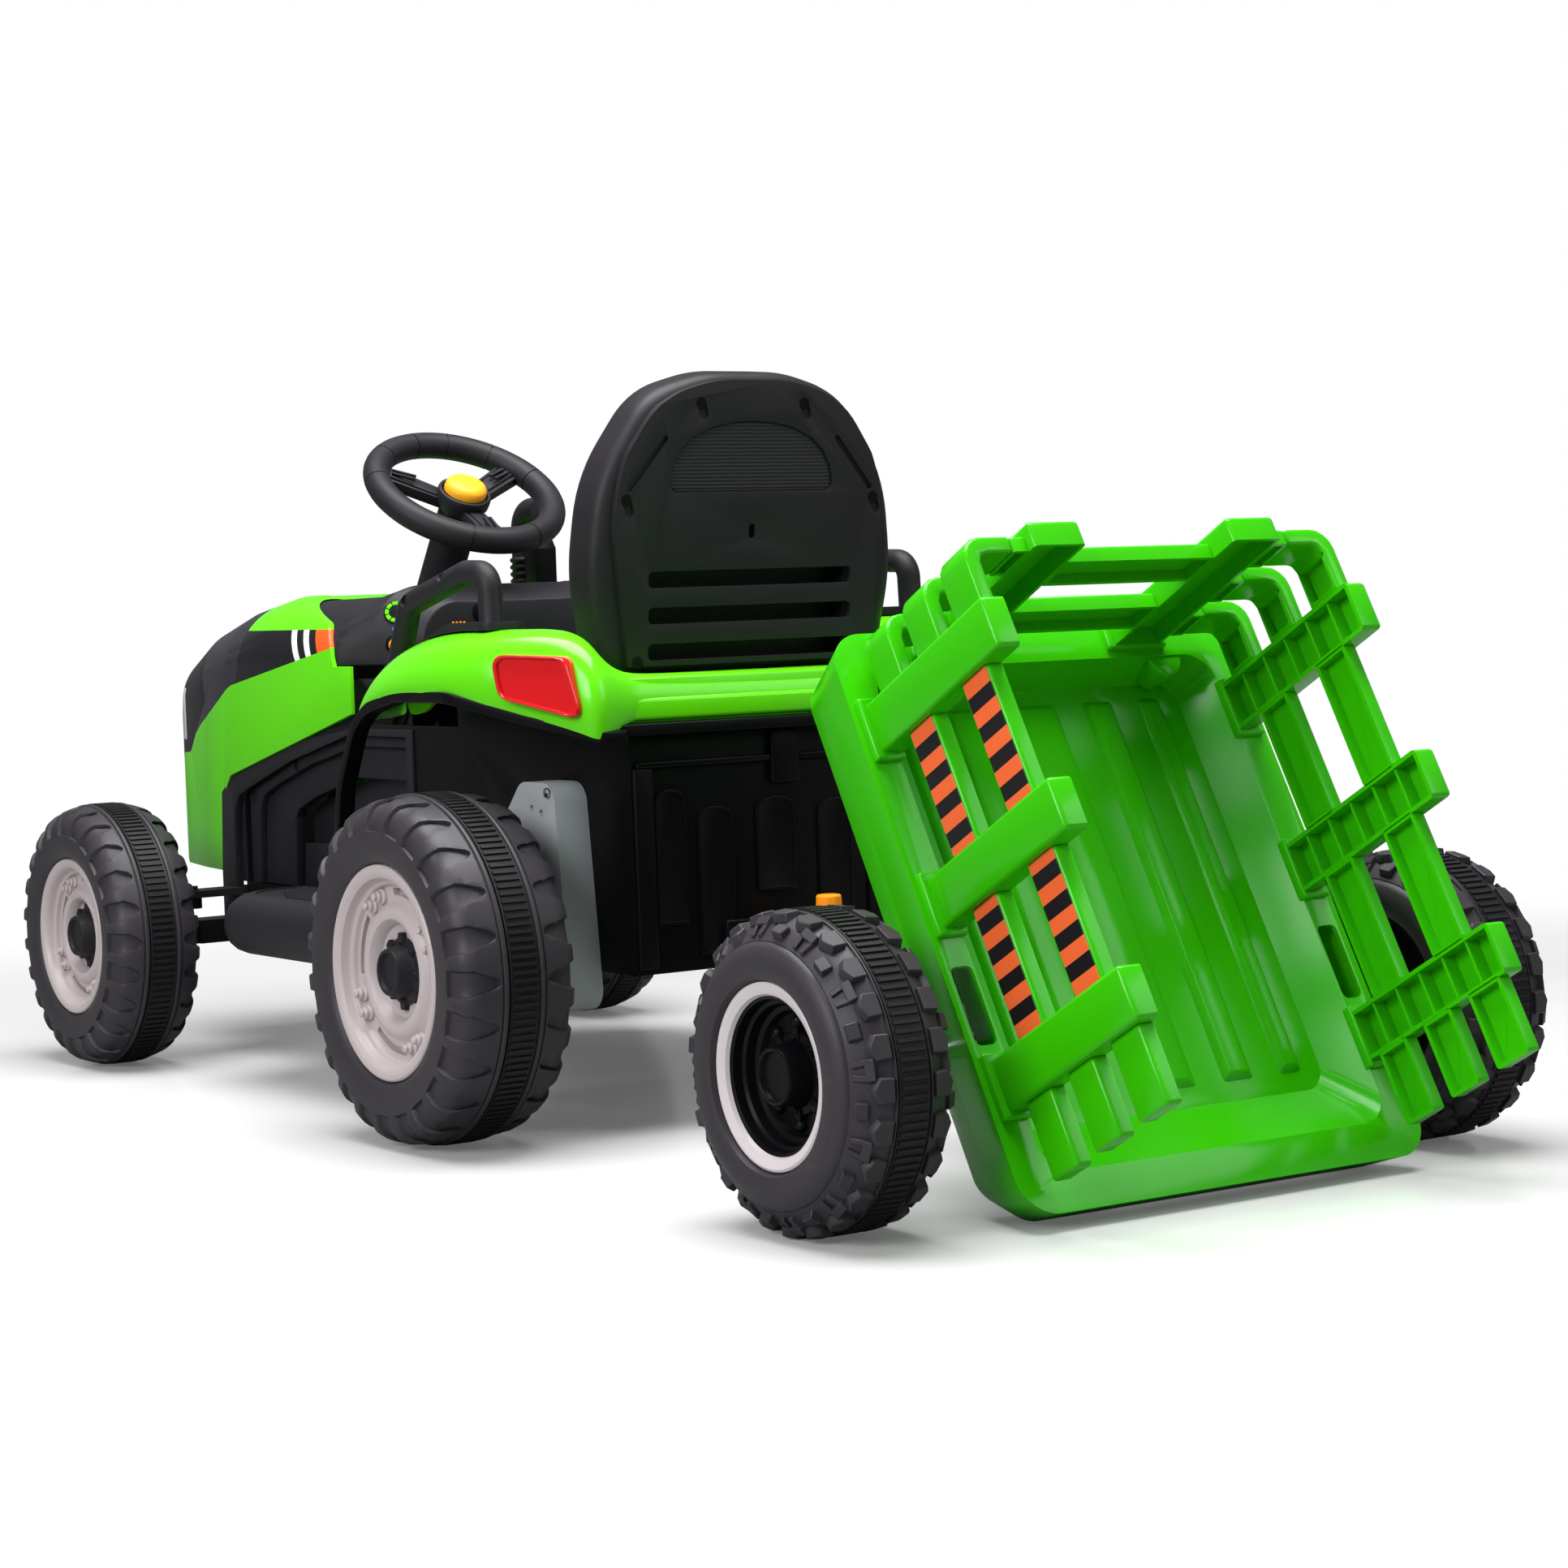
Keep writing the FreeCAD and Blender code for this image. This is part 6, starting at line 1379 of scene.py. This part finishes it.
def gear_housings():
    """Drive housings with a bolted ear at the top, two empty screw holes and one bolt."""
    bolted = (-27, 245)
    holes = [peg("housing_hole", x, z, ((157, 0), (157, 2.7), (166, 2.7), (166, 0)), 14, side)
             for side in (-1, 1) for x, z in ((-3, 233), (-16, 230), bolted)]
    softened("gearboxes", "gearbox", "tractor", 3, "gearbox_plastic", cutters=holes)
    bolts = [peg("housing_bolt", *bolted, ((157.5, 0), (157.5, 2.4), (162.6, 2.4), (162.8, 4), (164, 3.6), (165, 2),
                                           (165.2, 0)), 18, side) for side in (-1, 1)]
    done(join(*bolts), finish["steel"], "tractor", slot="steel")


def dash_details(dash):
    """A dial with a segmented green ring, small lights and orange marks on the dashboard."""
    bpy.context.view_layer.update()

    def face_at(x, y, z, run):
        run = Vector(run).normalized()
        place, out = dash.ray_cast(spot(x, y, z) - run * 0.09, run)[1:3]
        return place, (out if out.dot(run) < 0 else -out)

    def button(name, where, radius, height, look):
        place, out = where
        side = out.cross(UP).normalized()
        shape = [(0, height), (radius * 0.6, height * 0.96), (radius * 0.9, height * 0.7), (radius, height * 0.3),
                 (radius, -1), (0, -1)]
        piece = turned(name, [place + (out * rise + side * reach) / 1000 for reach, rise in shape], place, out, 24)
        done(piece, finish[look], "tractor", slot="black_plastic")

    def segments(place, out):
        side = out.cross(UP).normalized()
        up = side.cross(out)
        outline = ((-0.28, 6), (-0.28, 9), (0, 9.2), (0.28, 9), (0.28, 6), (0, 6.2))
        foot = place + out * 0.0008
        ring = prism("dial_segments", [foot + (side * math.cos(turn) + up * math.sin(turn)) * reach / 1000
                                       for turn, reach in outline], out * 0.0012)
        repeat(9, place, out)
        done(ring, finish["green"], "tractor", slot="green_plastic")

    inward, ahead = (0.7, -0.71, 0), (1, 0, 0)
    left_dial = face_at(305, 105, 376, inward)
    button("dial_face", left_dial, 10.5, 1.4, "gloss_black")
    segments(*left_dial)
    button("dial_face", face_at(305, -105, 376, (0.7, 0.71, 0)), 10.5, 1.4, "gloss_black")
    button("blue_light", face_at(305, 106, 362.6, inward), 2.2, 1.2, "blue")
    amber = face_at(308, 103, 350, inward)
    button("amber_light_bezel", amber, 8, 1.6, "gloss_black")
    button("amber_light", amber, 5.2, 3.2, "orange")
    for k in range(4):
        button("orange_mark", face_at(300, 47 + 3.4 * k, 366, ahead), 1.1, 0.7, "orange")
    button("small_dial", face_at(300, 31, 374, ahead), 8.5, 1.2, "gloss_black")


AXLE_BACK = 0.0246  # from the middle of the frame back to the rear axle
FILM_X, FILM_Z, FILM_SLOPES = 0.527, 0.323, (0.15, 2.46)  # where the two edges of the bonnet's film meet
STRIP_REAR, STRIP_TOP, STRIP_FOOT, STRIP_SLOPE = 0.352, 0.364, 0.320, 6.1
BLOCK_LEAN, BLOCK_START = 0.6, 0.35 - 0.6 * 0.345
BLOCK_ENDS = (0.024, 0.036, 0.046, 0.058, 0.068)


def side_stripes():
    """Bonnet plastic with a dark film at the front and a band of plain slanted blocks on each side."""
    material = plastic("bonnet_green_with_film", (95, 214, 15), (150, 226, 100), 0.22, 700, 0.02, 0.1, 0.12, shine=0.22)
    tree, shader = shader_of(material)
    place = shade(tree, "SeparateXYZ", own_place(tree)).outputs
    along, up = calc(tree, "ADD", place["X"], AXLE_BACK), place["Z"]

    def above(value, edge):
        return calc(tree, "GREATER_THAN", value, edge)

    def both(one, other):
        return calc(tree, "MULTIPLY", one, other)

    def leaning(slope):
        return calc(tree, "MULTIPLY_ADD", up, slope, along)

    front = both(*(above(leaning(slope), FILM_X + FILM_Z * slope) for slope in FILM_SLOPES))
    below = above(calc(tree, "SUBTRACT", STRIP_TOP, up), 0.0)
    ahead = above(leaning(STRIP_SLOPE), FILM_X + STRIP_FOOT * STRIP_SLOPE)
    strip = both(ahead, both(above(along, STRIP_REAR), below))
    lean_line = leaning(-BLOCK_LEAN)
    dark, pale = hue(24, 24, 28), hue(238, 238, 240)
    paint(tree, shader, strip, hue(240, 92, 34))
    for end, colour in zip(BLOCK_ENDS, (dark, pale, dark, pale, dark)):
        paint(tree, shader, both(strip, above(lean_line, BLOCK_START + end)), colour)
    paint(tree, shader, front, hue(40, 40, 48))
    return material


def tractor():
    seat_back()
    seat_shell()
    steering_wheel()
    tail_lamps()
    rear_panels()
    foot_boards()
    body_sides()
    fenders()
    deck_step()
    grab_handles()
    gear_housings()
    dash_details(softened("dashboard", "black", "tractor", 5, "black_plastic"))
    finish["bonnet"] = side_stripes()
    for name, look, width, slot in (
            ("bonnet", "bonnet", 5, "green_plastic"), ("nose_cap", "nose", 3, "nose_plastic"),
            ("fender_trim", "gloss_black", 2.5, "black_plastic"), ("steering_column", "black", 2, "black_plastic"),
            ("exhaust_stack", "black", 0.8, "black_plastic"), ("stack_post", "gloss_black", 1.5, "black_plastic"),
            ("headlight_lenses", "lens", 1, "clear_lens")):
        softened(name, look, "tractor", width, slot)
    softened("start_button", "orange", "starter", 1, "orange_plastic")
    softened("accelerator_pedal", "black", "pedal", 2, "black_plastic")
    softened("hitch_pin", "orange", "pin", 1.6, "orange_plastic")


slots = {"green_plastic": "green", "red_lens": "dark_red", "horn_plastic": "horn", "orange_plastic": "orange",
         "rim_plastic": "rim", "trailer_rim": "pale_rim", "clear_lens": "lens", "gearbox_plastic": "gearbox",
         "steel": "steel", "nose_plastic": "nose", "seat_plastic": "seat", "battery_plastic": "battery",
         "frame_metal": "frame"}
wheels()
trailer()
tractor()
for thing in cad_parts.values():
    given = thing.material_slots[0].material.name if thing.material_slots else ""
    look = next((finish[key] for word, key in slots.items() if word in given), finish["black"])
    thing.data.materials.clear()
    thing.data.materials.append(finish["gloss_black"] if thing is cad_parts["seat_screws"] else look)
